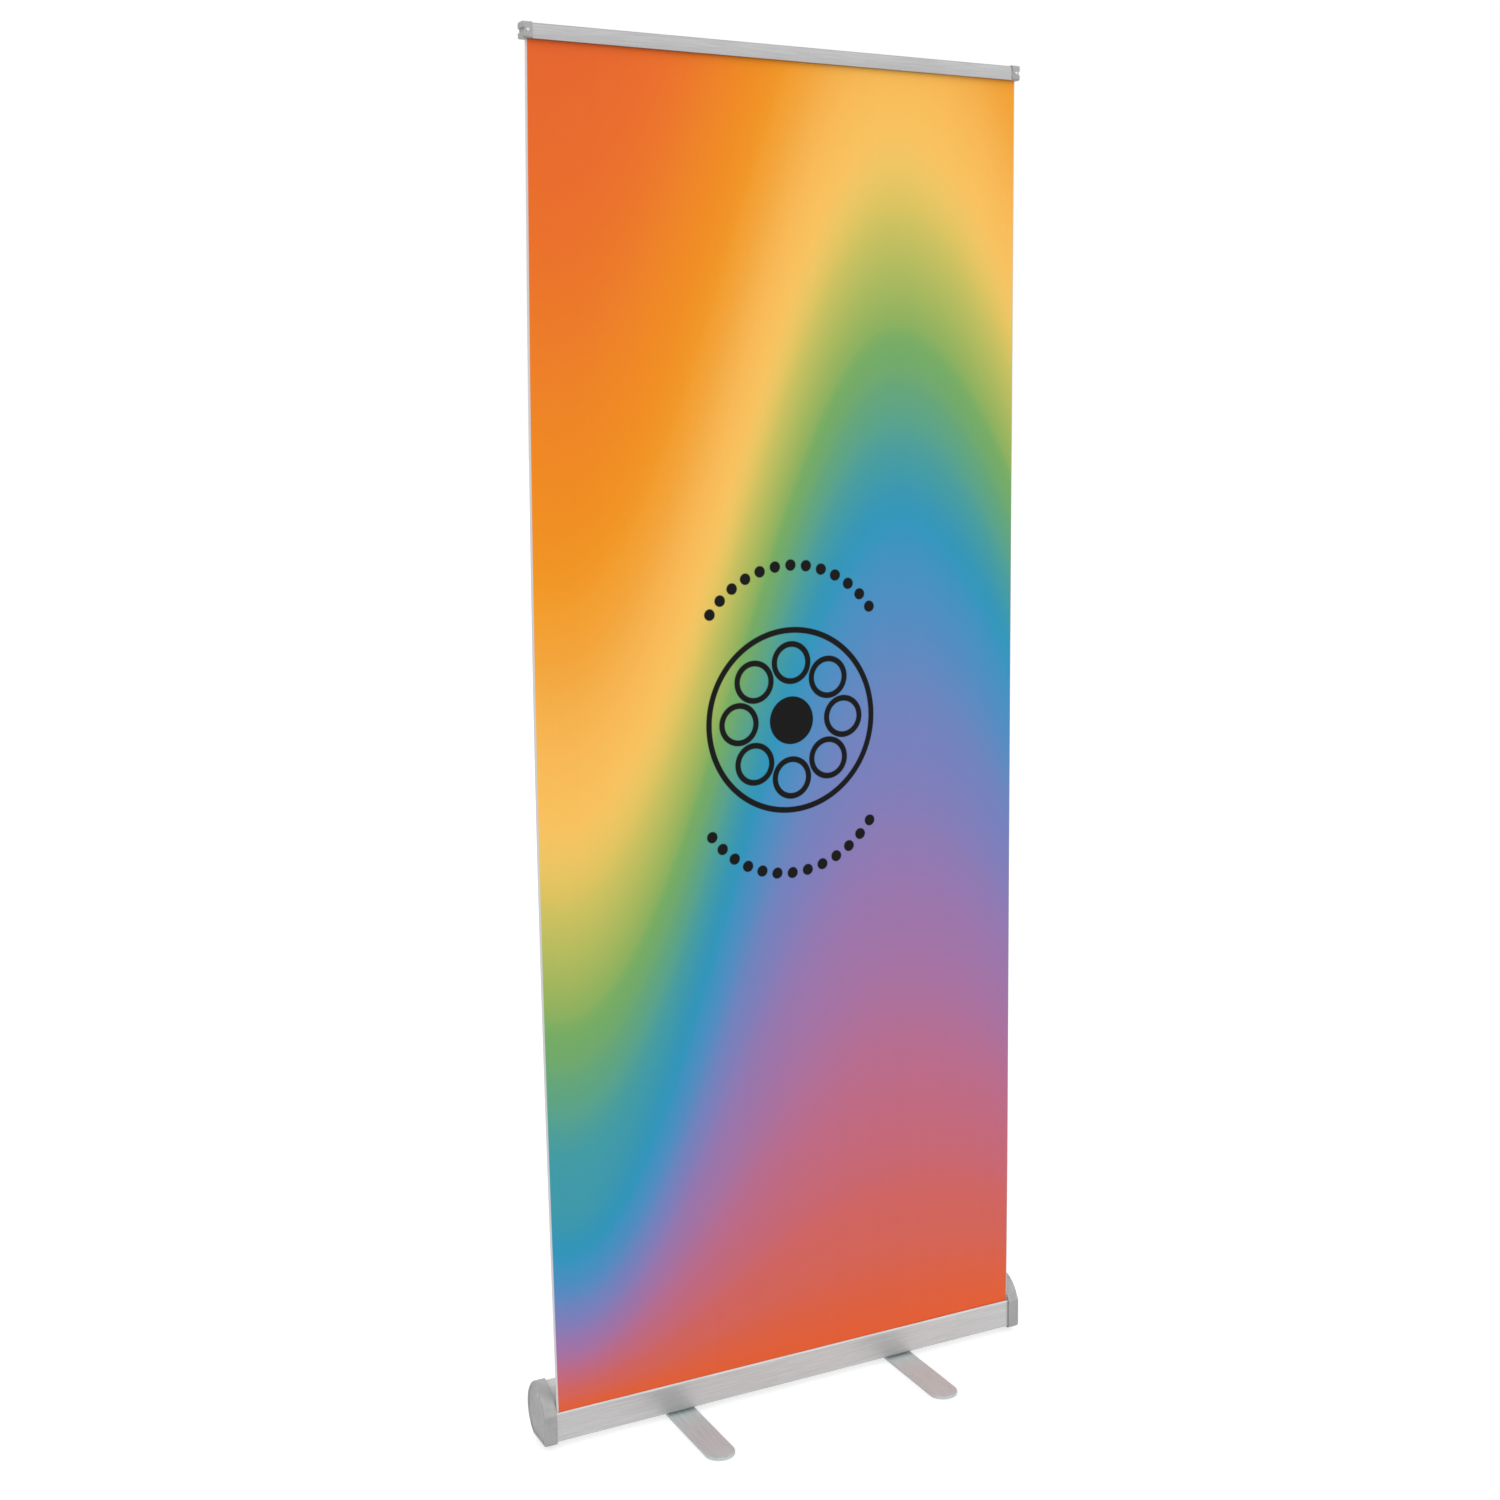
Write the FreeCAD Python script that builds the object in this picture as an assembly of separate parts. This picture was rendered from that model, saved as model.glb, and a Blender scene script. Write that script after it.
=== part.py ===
import FreeCAD, Part
import math
import os

from FreeCAD import Vector

# A roll-up banner stand, in millimetres. X runs along the base, -Y is the side that the print
# faces, and Z is up from the floor. The origin is on the floor, midway between the two feet's
# pivots. The film comes up out of a slot in the base and hangs from a rail on a telescopic pole.

# ---- Driving dimensions -------------------------------------------------------------------

# Printed film
PRINT_W = 800.0            # width of the film
PRINT_H = 2000.0           # height of the film that shows
FILM_T = 0.25              # thickness of the film
FILM_Y = -33.0             # middle plane of the film
CLAMP_TAB_H = 14.0         # film held inside the top rail
WRAP_T = 1.0               # film and leader left on the roller when the stand is up
ENTRY_GAP = 1.0            # from the wound film up to the straight film

# Base housing, an aluminium extrusion with a slot along its top
HOUSING_PAST = 3.0         # how far the housing runs past each edge of the film
CAP_L = 20.0               # length of one end cap
WALL = 1.6
FILM_GAP = 0.35            # from the film to the inside of the front wall
SLOT_W = 4.0
SLOT_Z = 57.0              # top of the front wall
SLOT_LIP_H = 7.0           # depth of the flange behind the slot
SLOT_LIP_T = 1.5
HOUSING_Z = 11.0           # underside of the housing
REAR_REACH = 23.0          # from the pole's axis back to the rearmost point of the housing
CREST_AHEAD = 1.0          # from the pole's axis forward to the ridge along the top
CREST_Z = 90.0
BROW_SAG = 7.0             # how far the top bulges between slot and ridge
CORNER_R = 3.0             # outside radius of the extrusion's corners
PORT_WALL = 1.45           # wall of the screw ports that run the housing's length
PORT_SINK = 0.5            # how far a port stands into the wall
REAR_PORT_ANGLE = 48.0     # place of a port on its arc, in degrees from the horizontal
BROW_PORT_ANGLE = 60.0
CAP_LIP = 3.0              # how far an end cap stands proud of the housing
CAP_EDGE_R = 3.5
CAP_FACE_T = 4.0
CAP_WALL_GAP = 1.0         # from the cap's hollow out to the housing's inside
CAP_BOSS_WALL = 1.6        # wall round a screw head's radius
CAP_RECESS = 1.0           # depth of the panel sunk into an end cap's outer face
CAP_RIM = 6.0              # width of the rim round that panel

# Screws
CAP_SCREW_R = 1.6
CAP_SCREW_HEAD_R = 3.2
CAP_SCREW_HEAD_H = 2.0
CAP_SCREW_L = 34.0
DRIVE_R = 1.2              # hexagon socket in a screw head
SOCKET_SCREW_R = 1.5
SOCKET_SCREW_HEAD_R = 3.0
SOCKET_SCREW_HEAD_H = 1.8
SOCKET_SCREW_SHORT = 1.2   # thread left empty above a socket screw

# Roller
ROLLER_R = 11.0
ROLL_ROOM = 4.0            # between the full roll and the housing's floor
ROLLER_WALL = 1.2
ROLLER_FLANGE_T = 1.0
PLUG_L = 16.0
AXLE_R = 3.0
AXLE_BITE = 12.0           # length of an axle inside its end cap
AXLE_PAST = 2.0            # how far the idler axle runs past its plug
HUB_R = 6.5
ARBOR_L = 214.0            # length of the spring arbor inside the roller
SPRING_GAP_IN = 0.6        # from the arbor to the spring
SPRING_GAP_OUT = 1.2       # from the spring to the roller
SPRING_GROOVE = 1.0
SPRING_PITCH = 4.0
ANCHOR_L = 9.0

# Feet
FOOT_X = 195.0             # from the middle of the base to a foot's pivot
FOOT_W = 46.0
FOOT_L = 376.0
FOOT_T = 4.0
FOOT_EDGE_R = 0.8
PAD_T = 1.5
PAD_R = 9.0
PAD_INSET = 28.0           # from a foot's tip to the centre of its pad
PIVOT_R = 3.0
PIVOT_HEAD_R = 6.0
PIVOT_HEAD_H = 2.6
PIVOT_DRIVE_ACROSS = 4.0
PIVOT_DRIVE_H = 1.8
NUT_ACROSS = 10.0
NUT_H = 5.0
SPACER_R = 9.0

# Pole, three tubes
POLE_R = 9.5               # lower tube; each next tube just fits inside
TUBE_WALL = 1.2
OVERLAP = 80.0             # engagement of two neighbouring tubes
STACK_GAP = 5.5            # between the two lock collars when the pole is closed
COLLAR_BELOW = 25.0        # length of a collar below the top of its tube
COLLAR_ABOVE = 17.0
COLLAR_T = 4.0             # from the outside of a tube to the outside of its collar
COLLAR_CHAMFER = 1.0
COLLAR_GROOVES = 16
GROOVE_R = 1.1
GROOVE_OUT = 0.3           # from the collar's surface out to a groove's centre
GROOVE_END = 4.0           # plain ring beyond each end of the grooves
COLLET_H = 12.0
COLLET_T = 1.3
COLLET_SLOT = 1.2
COLLET_RING_H = 3.0        # unsplit ring at a collet's foot
GLIDE_H = 6.0
GLIDE_SPIGOT_H = 14.0
GLIDE_WALL = 1.6
FOOT_PLUG_T = 2.0
FOOT_PLUG_WALL = 2.0

# Pole socket in the base
SOCKET_WALL = 1.6
SOCKET_PLATE_L = 46.0
SOCKET_PLATE_W = 20.0
SOCKET_PLATE_T = 3.0
SOCKET_SCREW_X = 17.0
SOCKET_SCREW_Y = 7.0
SOCKET_RISE = 2.7          # how far the socket stands above the ridge
SOCKET_FLANGE_W = 2.0
SOCKET_FLANGE_T = 2.4

# Top rail
RAIL_PAST = 7.0            # how far the rail runs past each edge of the film
RAIL_CAP_L = 14.0
RAIL_H = 22.0
RAIL_WALL = 1.8
RAIL_TOP_T = 2.0
RAIL_LIP_H = 16.0          # depth of the wall behind the channel
TONGUE_T = 9.0
TONGUE_W = 28.0
BEAD_R = 1.5               # hinge bead of the clamp cover
BEAD_NECK_T = 1.2
KNUCKLE_T = 1.3
HINGE_DROP = 0.4           # from the top of the rail down to the cover's knuckle
COVER_T = 1.5
COVER_CROWN = 0.7
COVER_OPENS = 60.0         # degrees
COVER_TOOTH_H = 3.6
COVER_TOOTH_T = 1.5
RAIL_CAP_LIP = 0.7
RAIL_CAP_R = 3.5
RAIL_CAP_EDGE_R = 1.0
RAIL_CAP_PLUG_L = 12.0
RAIL_NOTCH_H = 6.0
RAIL_NOTCH_D = 2.5
RAIL_SCREW_R = 1.2
RAIL_SCREW_HEAD_R = 2.2
RAIL_SCREW_HEAD_H = 0.8
RAIL_SCREW_L = 8.0

# Pole head
HEAD_WALL = 2.2
HEAD_SLEEVE_H = 22.0       # sleeve over the top of the pole
HEAD_ARM_H = 8.0
HEAD_DROP = 9.5            # from the underside of the rail down to the top of the tubes

# Clearances
FIT = 0.1                  # pins and shafts, on the radius
SLIDE_FIT = 0.15           # guided sliding parts, on the radius
APART = 0.3                # between parts that move past each other
PAST = 1.0                 # how far a cut runs past the piece that it cuts

# ---- Sizes that follow --------------------------------------------------------------------

HOUSING_L = PRINT_W + 2 * HOUSING_PAST
BASE_L = HOUSING_L + 2 * CAP_L
FRONT_Y = FILM_Y - FILM_T / 2 - FILM_GAP - WALL
SLOT_Y = FRONT_Y + WALL
FLOOR_Z = HOUSING_Z + WALL
FOOT_Z = PAD_T
FOOT_TOP = FOOT_Z + FOOT_T
TUBE_RADII = [POLE_R - n * (TUBE_WALL + APART) for n in range(3)]
SOCKET_R = POLE_R + SLIDE_FIT + SOCKET_WALL

# The roller stands clear of the front wall and the floor even with all of the film wound on it,
# to the next tenth of a millimetre, and the pole's socket stands clear behind it.
WRAP_R = ROLLER_R + WRAP_T
FULL_ROLL_R = math.sqrt(WRAP_R ** 2 + PRINT_H * FILM_T / math.pi)
ROLLER_Y = round(SLOT_Y + FULL_ROLL_R + APART, 1)
ROLLER_Z = round(FLOOR_Z + FULL_ROLL_R + ROLL_ROOM, 1)
POLE_Y = float(math.ceil(ROLLER_Y + FULL_ROLL_R + SOCKET_R))
REAR_Y = POLE_Y + REAR_REACH
CREST_Y = POLE_Y - CREST_AHEAD
FILM_ENTRY_Z = ROLLER_Z + WRAP_R + ENTRY_GAP
SPRING_INNER_R = AXLE_R + SPRING_GAP_IN
SPRING_OUTER_R = ROLLER_R - ROLLER_WALL - SPRING_GAP_OUT

RAIL_L = PRINT_W + 2 * RAIL_PAST
RAIL_Z = SLOT_Z + PRINT_H
RAIL_TOP = RAIL_Z + RAIL_H
CHANNEL_TOP = RAIL_TOP - RAIL_TOP_T
RAIL_FACE_Y = FILM_Y + FILM_T / 2
TONGUE_Y = RAIL_FACE_Y + RAIL_WALL + APART
RAIL_LIP_Y = TONGUE_Y + TONGUE_T + APART
RAIL_REAR_Y = RAIL_LIP_Y + RAIL_WALL
KNUCKLE_R = BEAD_R + APART + KNUCKLE_T
HINGE_Y = FILM_Y - FILM_T / 2 - APART - KNUCKLE_R
HINGE_Z = RAIL_TOP - KNUCKLE_R - HINGE_DROP
COVER_Y = HINGE_Y - KNUCKLE_R
PROFILE_L = RAIL_L - 2 * RAIL_CAP_L


def arc_of(start, end, sagitta):
    """Centre and radius of the arc between two (y, z) points that bulges by a sagitta to the right."""
    run_y, run_z = end[0] - start[0], end[1] - start[1]
    run = math.hypot(run_y, run_z)
    radius = (run ** 2 / 4 + sagitta ** 2) / (2 * sagitta)
    back = (radius - sagitta) / run
    return ((start[0] + end[0]) / 2 - back * run_z, (start[1] + end[1]) / 2 + back * run_y), radius


# The housing's section is drawn through the centres of its rounded corners, each as (y, z). One
# arc runs up the rear to the ridge, and one comes down over the brow to the slot.
FOOT_POINT = (CREST_Y, HOUSING_Z + CORNER_R)
CREST_POINT = (CREST_Y, CREST_Z - CORNER_R)
BROW_POINT = (SLOT_Y + SLOT_W + CORNER_R - SLOT_LIP_T, SLOT_Z + CORNER_R)
REAR_SAG = REAR_Y - CORNER_R - CREST_Y
REAR_CENTRE, REAR_ARC_R = arc_of(FOOT_POINT, CREST_POINT, REAR_SAG)
BROW_CENTRE, BROW_ARC_R = arc_of(CREST_POINT, BROW_POINT, BROW_SAG)
BROW_TOP = BROW_CENTRE[1] + BROW_ARC_R + CORNER_R
HOUSING_TOP = BROW_TOP if BROW_CENTRE[0] < CREST_Y else CREST_Z

# The pole stands as low in its socket as the rear arc lets it, to the next whole millimetre.
SOCKET_TOP = HOUSING_TOP + SOCKET_RISE
REAR_INSIDE_R = REAR_ARC_R + CORNER_R - WALL
REAR_RISE = math.sqrt(REAR_INSIDE_R ** 2 - (POLE_Y + SOCKET_R - REAR_CENTRE[0]) ** 2)
SOCKET_FLOOR = math.ceil(REAR_CENTRE[1] - REAR_RISE)
TUBE_FOOT = SOCKET_FLOOR + FOOT_PLUG_T
POLE_TOP = RAIL_Z - HEAD_DROP
SECTION_L = (POLE_TOP - TUBE_FOOT + 2 * OVERLAP) / 3
TRAVEL = SECTION_L - OVERLAP - COLLAR_BELOW - COLLAR_ABOVE - STACK_GAP
TUBE_BOTTOMS = [TUBE_FOOT + n * (SECTION_L - OVERLAP) for n in range(3)]
TUBE_TOPS = [bottom + SECTION_L for bottom in TUBE_BOTTOMS]

# The film is one sheet. It is made as a panel that comes down with the rail and a stretch that
# winds up below it, which meet here.
FILM_SPLIT = FILM_ENTRY_Z + 2 * TRAVEL + APART

# Centres of the three screw ports, as (y, z): front corner, rear arc, brow arc.
PORT_HOLE_R = CAP_SCREW_R + SLIDE_FIT
PORT_R = PORT_HOLE_R + PORT_WALL
PORT_INSET = PORT_R - PORT_SINK
REAR_PORT = (math.cos(math.radians(REAR_PORT_ANGLE)), -math.sin(math.radians(REAR_PORT_ANGLE)))
BROW_PORT = (-math.cos(math.radians(BROW_PORT_ANGLE)), math.sin(math.radians(BROW_PORT_ANGLE)))


def port_on(centre, arc_r, direction):
    """Centre of a port that stands on the inside of one of the housing's arcs."""
    reach = arc_r + CORNER_R - WALL - PORT_INSET
    return (centre[0] + reach * direction[0], centre[1] + reach * direction[1])


PORTS = (
    (SLOT_Y + PORT_INSET, FLOOR_Z + PORT_INSET),
    port_on(REAR_CENTRE, REAR_ARC_R, REAR_PORT),
    port_on(BROW_CENTRE, BROW_ARC_R, BROW_PORT),
)

X_AXIS = Vector(1, 0, 0)
Y_AXIS = Vector(0, 1, 0)
Z_AXIS = Vector(0, 0, 1)


# ---- Helpers ------------------------------------------------------------------------------

def box(x_span, y_span, z_span):
    """Box between a low and a high value on each axis."""
    corner = Vector(x_span[0], y_span[0], z_span[0])
    return Part.makeBox(x_span[1] - x_span[0], y_span[1] - y_span[0], z_span[1] - z_span[0], corner)


def rod(radius, start, axis, length):
    """Solid cylinder from a start point along an axis."""
    return Part.makeCylinder(radius, length, Vector(*start), axis)


def tube(outer, inner, start, axis, length):
    """Hollow cylinder from a start point along an axis."""
    return rod(outer, start, axis, length).cut(rod(inner, start, axis, length))


def hex_prism(across, start, axis, length):
    """Hexagonal prism, measured across its flats."""
    radius = across / math.sqrt(3)
    side = Vector(0, 1, 0) if abs(axis.y) < 0.5 else Vector(1, 0, 0)
    other = axis.cross(side)
    corners = []
    for n in range(7):
        angle = math.radians(60 * n)
        corners.append(Vector(*start) + side * (radius * math.cos(angle)) + other * (radius * math.sin(angle)))
    return Part.Face(Part.makePolygon(corners)).extrude(axis * length)


def prism(points, x_start, length):
    """Polygon of (y, z) points pushed along X."""
    corners = [Vector(x_start, y, z) for y, z in points]
    return Part.Face(Part.makePolygon(corners + corners[:1])).extrude(X_AXIS * length)


def bowed(start, end, sagitta):
    """Arc between two (y, z) points that bulges to the right of the way from start to end."""
    run_y, run_z = end[0] - start[0], end[1] - start[1]
    run = math.hypot(run_y, run_z)
    middle_y = (start[0] + end[0]) / 2 + sagitta * run_z / run
    middle_z = (start[1] + end[1]) / 2 - sagitta * run_y / run
    return Part.Arc(Vector(0, *start), Vector(0, middle_y, middle_z), Vector(0, *end)).toShape()


def straight(start, end):
    """Line between two (y, z) points."""
    return Part.LineSegment(Vector(0, *start), Vector(0, *end)).toShape()


def push(wire, x_start, length):
    """Closed outline at x = 0, moved to x_start and pushed along X."""
    moved = wire.copy()
    moved.translate(Vector(x_start, 0, 0))
    return Part.Face(moved).extrude(X_AXIS * length)


def mirrored(shape):
    """The same shape on the other side of the middle of the base."""
    return shape.mirror(Vector(0, 0, 0), X_AXIS)


def both_sides(shape):
    """One shape and its mirror image, kept as separate solids."""
    return Part.makeCompound([shape, mirrored(shape)])


# ---- Base ---------------------------------------------------------------------------------

def base_outline(offset):
    """Outline of the housing's section, grown by an offset. All corners come out rounded."""
    front = FRONT_Y + CORNER_R
    edges = [
        straight((front, FOOT_POINT[1]), FOOT_POINT),
        bowed(FOOT_POINT, CREST_POINT, REAR_SAG),
        bowed(CREST_POINT, BROW_POINT, BROW_SAG),
        straight(BROW_POINT, (front, SLOT_Z - CORNER_R)),
        straight((front, SLOT_Z - CORNER_R), (front, FOOT_POINT[1])),
    ]
    return Part.Wire(edges).makeOffset2D(CORNER_R + offset)


def housing_shell():
    """Extruded housing with its slot, screw ports and the holes for feet and pole."""
    start = -HOUSING_L / 2
    outside = push(base_outline(0), start, HOUSING_L)
    inside = push(base_outline(-WALL), start, HOUSING_L)
    shell = outside.cut(inside)
    for y, z in PORTS:
        shell = shell.fuse(rod(PORT_R, (start, y, z), X_AXIS, HOUSING_L))
    corner_y, corner_z = PORTS[0]
    shell = shell.fuse(box((start, -start), (SLOT_Y - WALL / 2, corner_y), (FLOOR_Z - WALL / 2, corner_z)))
    rear = SLOT_Y + SLOT_W
    lip = box((start, -start), (rear, rear + SLOT_LIP_T), (SLOT_Z - SLOT_LIP_H, SLOT_Z + 3 * CORNER_R))
    shell = shell.fuse(lip).common(outside)
    shell = shell.cut(box((start, -start), (SLOT_Y, rear), (SLOT_Z - SLOT_LIP_H, CREST_Z)))
    for y, z in PORTS:
        shell = shell.cut(rod(PORT_HOLE_R, (start, y, z), X_AXIS, HOUSING_L))
    shell = shell.cut(socket_space(APART, 0))
    for side in (-1, 1):
        shell = shell.cut(rod(PIVOT_R + FIT, (side * FOOT_X, 0, HOUSING_Z - PAST), Z_AXIS, WALL + 2 * PAST))
        socket_screw = (side * SOCKET_SCREW_X, SOCKET_SCREW_Y, HOUSING_Z - PAST)
        shell = shell.cut(rod(SOCKET_SCREW_R + FIT, socket_screw, Z_AXIS, WALL + 2 * PAST))
    shell = shell.cut(rod(SOCKET_R + SLIDE_FIT, (0, POLE_Y, REAR_CENTRE[1]), Z_AXIS, CREST_Z))
    return shell.removeSplitter()


def end_cap_right():
    """Moulded end cap: proud rim, sunk outer panel, axle hub and three screw bosses."""
    inner = HOUSING_L / 2
    outer = BASE_L / 2
    body = push(base_outline(CAP_LIP), inner, CAP_L)
    edges = [e for e in body.Edges if all(abs(v.X - outer) < 1e-6 for v in e.Vertexes)]
    body = body.makeFillet(CAP_EDGE_R, edges)
    body = body.cut(push(base_outline(CAP_LIP - CAP_RIM), outer - CAP_RECESS, CAP_RECESS + PAST))
    hollow = push(base_outline(-WALL - CAP_WALL_GAP), inner, CAP_L - CAP_FACE_T)
    bosses = rod(HUB_R, (inner, ROLLER_Y, ROLLER_Z), X_AXIS, CAP_L - CAP_FACE_T)
    for y, z in PORTS:
        bosses = bosses.fuse(rod(CAP_SCREW_HEAD_R + CAP_BOSS_WALL, (inner, y, z), X_AXIS, CAP_L - CAP_FACE_T))
    body = body.cut(hollow.cut(bosses))
    body = body.cut(rod(AXLE_R + FIT, (inner, ROLLER_Y, ROLLER_Z), X_AXIS, AXLE_BITE + FIT))
    seat = outer - CAP_RECESS - CAP_SCREW_HEAD_H - FIT
    for y, z in PORTS:
        body = body.cut(rod(CAP_SCREW_R + FIT, (inner, y, z), X_AXIS, CAP_L))
        body = body.cut(rod(CAP_SCREW_HEAD_R + APART, (seat, y, z), X_AXIS, CAP_L))
    return body.removeSplitter()


def end_cap_screws():
    """Three screws in each end cap, each in a port of the housing."""
    head_top = BASE_L / 2 - CAP_RECESS - FIT
    screws = []
    for y, z in PORTS:
        head = rod(CAP_SCREW_HEAD_R, (head_top, y, z), -X_AXIS, CAP_SCREW_HEAD_H)
        shank = rod(CAP_SCREW_R, (head_top, y, z), -X_AXIS, CAP_SCREW_L)
        drive = hex_prism(2 * DRIVE_R, (head_top, y, z), -X_AXIS, CAP_SCREW_HEAD_H / 2)
        screw = head.fuse(shank).removeSplitter().cut(drive)
        screws += [screw, mirrored(screw)]
    return Part.makeCompound(screws)


def socket_space(grow, gap):
    """Inside of the housing's lower half round the pole socket, where the rear port is milled off."""
    half = SOCKET_PLATE_L / 2 + grow
    inside = push(base_outline(-WALL - gap), -half, 2 * half)
    front = POLE_Y - SOCKET_PLATE_W / 2 - grow
    return inside.common(box((-half, half), (front, REAR_Y), (HOUSING_Z, REAR_CENTRE[1])))


def pole_socket():
    """Moulded socket that stands on the housing's floor and comes out through the ridge."""
    half = SOCKET_PLATE_L / 2
    plate = box((-half, half), (POLE_Y - SOCKET_PLATE_W / 2, REAR_Y), (FLOOR_Z, FLOOR_Z + SOCKET_PLATE_T))
    middle = REAR_CENTRE[1]
    foot = rod(SOCKET_R, (0, POLE_Y, FLOOR_Z), Z_AXIS, middle - FLOOR_Z)
    foot = plate.fuse(foot).common(socket_space(SOCKET_R, FIT / 2))
    sleeve = rod(SOCKET_R, (0, POLE_Y, middle), Z_AXIS, SOCKET_TOP - middle)
    flange_z = SOCKET_TOP - SOCKET_FLANGE_T
    flange = rod(SOCKET_R + SOCKET_FLANGE_W, (0, POLE_Y, flange_z), Z_AXIS, SOCKET_FLANGE_T)
    bore = rod(TUBE_RADII[0] + SLIDE_FIT, (0, POLE_Y, SOCKET_FLOOR), Z_AXIS, SOCKET_TOP)
    body = foot.fuse(sleeve).fuse(flange).removeSplitter().cut(bore)
    for side in (-1, 1):
        screw = (side * SOCKET_SCREW_X, SOCKET_SCREW_Y, FLOOR_Z - PAST)
        body = body.cut(rod(SOCKET_SCREW_R + FIT, screw, Z_AXIS, SOCKET_PLATE_T))
    return body


def socket_screws():
    """Two screws up through the housing's floor into the pole socket."""
    start = (SOCKET_SCREW_X, SOCKET_SCREW_Y, HOUSING_Z)
    shank = rod(SOCKET_SCREW_R, start, Z_AXIS, WALL + SOCKET_PLATE_T - SOCKET_SCREW_SHORT)
    head = rod(SOCKET_SCREW_HEAD_R, start, -Z_AXIS, SOCKET_SCREW_HEAD_H)
    under = (SOCKET_SCREW_X, SOCKET_SCREW_Y, HOUSING_Z - SOCKET_SCREW_HEAD_H)
    drive = hex_prism(2 * DRIVE_R, under, Z_AXIS, SOCKET_SCREW_HEAD_H / 2)
    return both_sides(shank.fuse(head).removeSplitter().cut(drive))


# ---- Roller -------------------------------------------------------------------------------

def roller_tube():
    """Aluminium tube that the film winds on."""
    start = (-PRINT_W / 2, ROLLER_Y, ROLLER_Z)
    return tube(ROLLER_R, ROLLER_R - ROLLER_WALL, start, X_AXIS, PRINT_W)


def roller_plug_right():
    """Plug in the roller's end that turns on the axle, with a flange on the tube's end."""
    end = PRINT_W / 2
    inner_r = ROLLER_R - ROLLER_WALL - FIT / 2
    body = rod(inner_r, (end - PLUG_L, ROLLER_Y, ROLLER_Z), X_AXIS, PLUG_L)
    flange = rod(ROLLER_R, (end, ROLLER_Y, ROLLER_Z), X_AXIS, ROLLER_FLANGE_T)
    bore = rod(AXLE_R + FIT, (end - PLUG_L, ROLLER_Y, ROLLER_Z), X_AXIS, PLUG_L + ROLLER_FLANGE_T)
    return body.fuse(flange).removeSplitter().cut(bore)


def idler_axle():
    """Fixed pin in the left end cap."""
    start = -HOUSING_L / 2 - AXLE_BITE
    end = -PRINT_W / 2 + PLUG_L + AXLE_PAST
    return rod(AXLE_R, (start, ROLLER_Y, ROLLER_Z), X_AXIS, end - start)


def spring_arbor():
    """Fixed shaft in the right end cap, which carries the spring inside the roller."""
    start = PRINT_W / 2 - ARBOR_L
    end = HOUSING_L / 2 + AXLE_BITE
    return rod(AXLE_R, (start, ROLLER_Y, ROLLER_Z), X_AXIS, end - start)


def spring_anchor():
    """Collar on the arbor's inner end that holds the fixed end of the spring."""
    start = (PRINT_W / 2 - ARBOR_L, ROLLER_Y, ROLLER_Z)
    return tube(SPRING_OUTER_R, AXLE_R + FIT / 2, start, X_AXIS, ANCHOR_L)


def torsion_spring():
    """Close-wound torsion spring, as a sleeve with a groove between each two turns."""
    start = PRINT_W / 2 - ARBOR_L + ANCHOR_L + APART
    length = PRINT_W / 2 - PLUG_L - start
    turns = int(length // SPRING_PITCH)
    pitch = length / turns
    points = [(start, SPRING_INNER_R)]
    for n in range(turns):
        points.append((start + n * pitch, SPRING_OUTER_R - SPRING_GROOVE))
        points.append((start + (n + 0.5) * pitch, SPRING_OUTER_R))
    points.append((start + length, SPRING_OUTER_R - SPRING_GROOVE))
    points.append((start + length, SPRING_INNER_R))
    corners = [Vector(x, ROLLER_Y + r, ROLLER_Z) for x, r in points]
    section = Part.Face(Part.makePolygon(corners + corners[:1]))
    return section.revolve(Vector(0, ROLLER_Y, ROLLER_Z), X_AXIS, 360)


def film_roll():
    """Turns of leader and film that stay on the roller when the stand is up."""
    start = (-PRINT_W / 2, ROLLER_Y, ROLLER_Z)
    return tube(WRAP_R, ROLLER_R, start, X_AXIS, PRINT_W)


def film_leader():
    """Straight stretch of film from below the slot to the front of the roll."""
    reach = WRAP_R + FILM_T / 2 + APART
    run_y, run_z = FILM_Y - ROLLER_Y, FILM_ENTRY_Z - ROLLER_Z
    distance = math.hypot(run_y, run_z)
    angle = math.atan2(run_z, run_y) + math.acos(reach / distance)
    out_y, out_z = math.cos(angle), math.sin(angle)
    touch = (ROLLER_Y + reach * out_y, ROLLER_Z + reach * out_z)
    half = FILM_T / 2
    points = [
        (FILM_Y - half, FILM_ENTRY_Z),
        (FILM_Y + half, FILM_ENTRY_Z),
        (touch[0] - half * out_y, touch[1] - half * out_z),
        (touch[0] + half * out_y, touch[1] + half * out_z),
    ]
    return prism(points, -PRINT_W / 2, PRINT_W)


# ---- Film ---------------------------------------------------------------------------------

def banner_lower():
    """Film from inside the slot up to the split."""
    half = PRINT_W / 2
    return box((-half, half), (FILM_Y - FILM_T / 2, FILM_Y + FILM_T / 2), (FILM_ENTRY_Z, FILM_SPLIT))


def banner_upper():
    """Film from the split to the top rail, with the narrower tab that the rail clamps."""
    half = PRINT_W / 2
    depth = (FILM_Y - FILM_T / 2, FILM_Y + FILM_T / 2)
    sheet = box((-half, half), depth, (FILM_SPLIT, RAIL_Z))
    tab = PROFILE_L / 2 - APART
    return sheet.fuse(box((-tab, tab), depth, (RAIL_Z, RAIL_Z + CLAMP_TAB_H))).removeSplitter()


# ---- Feet ---------------------------------------------------------------------------------

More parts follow.
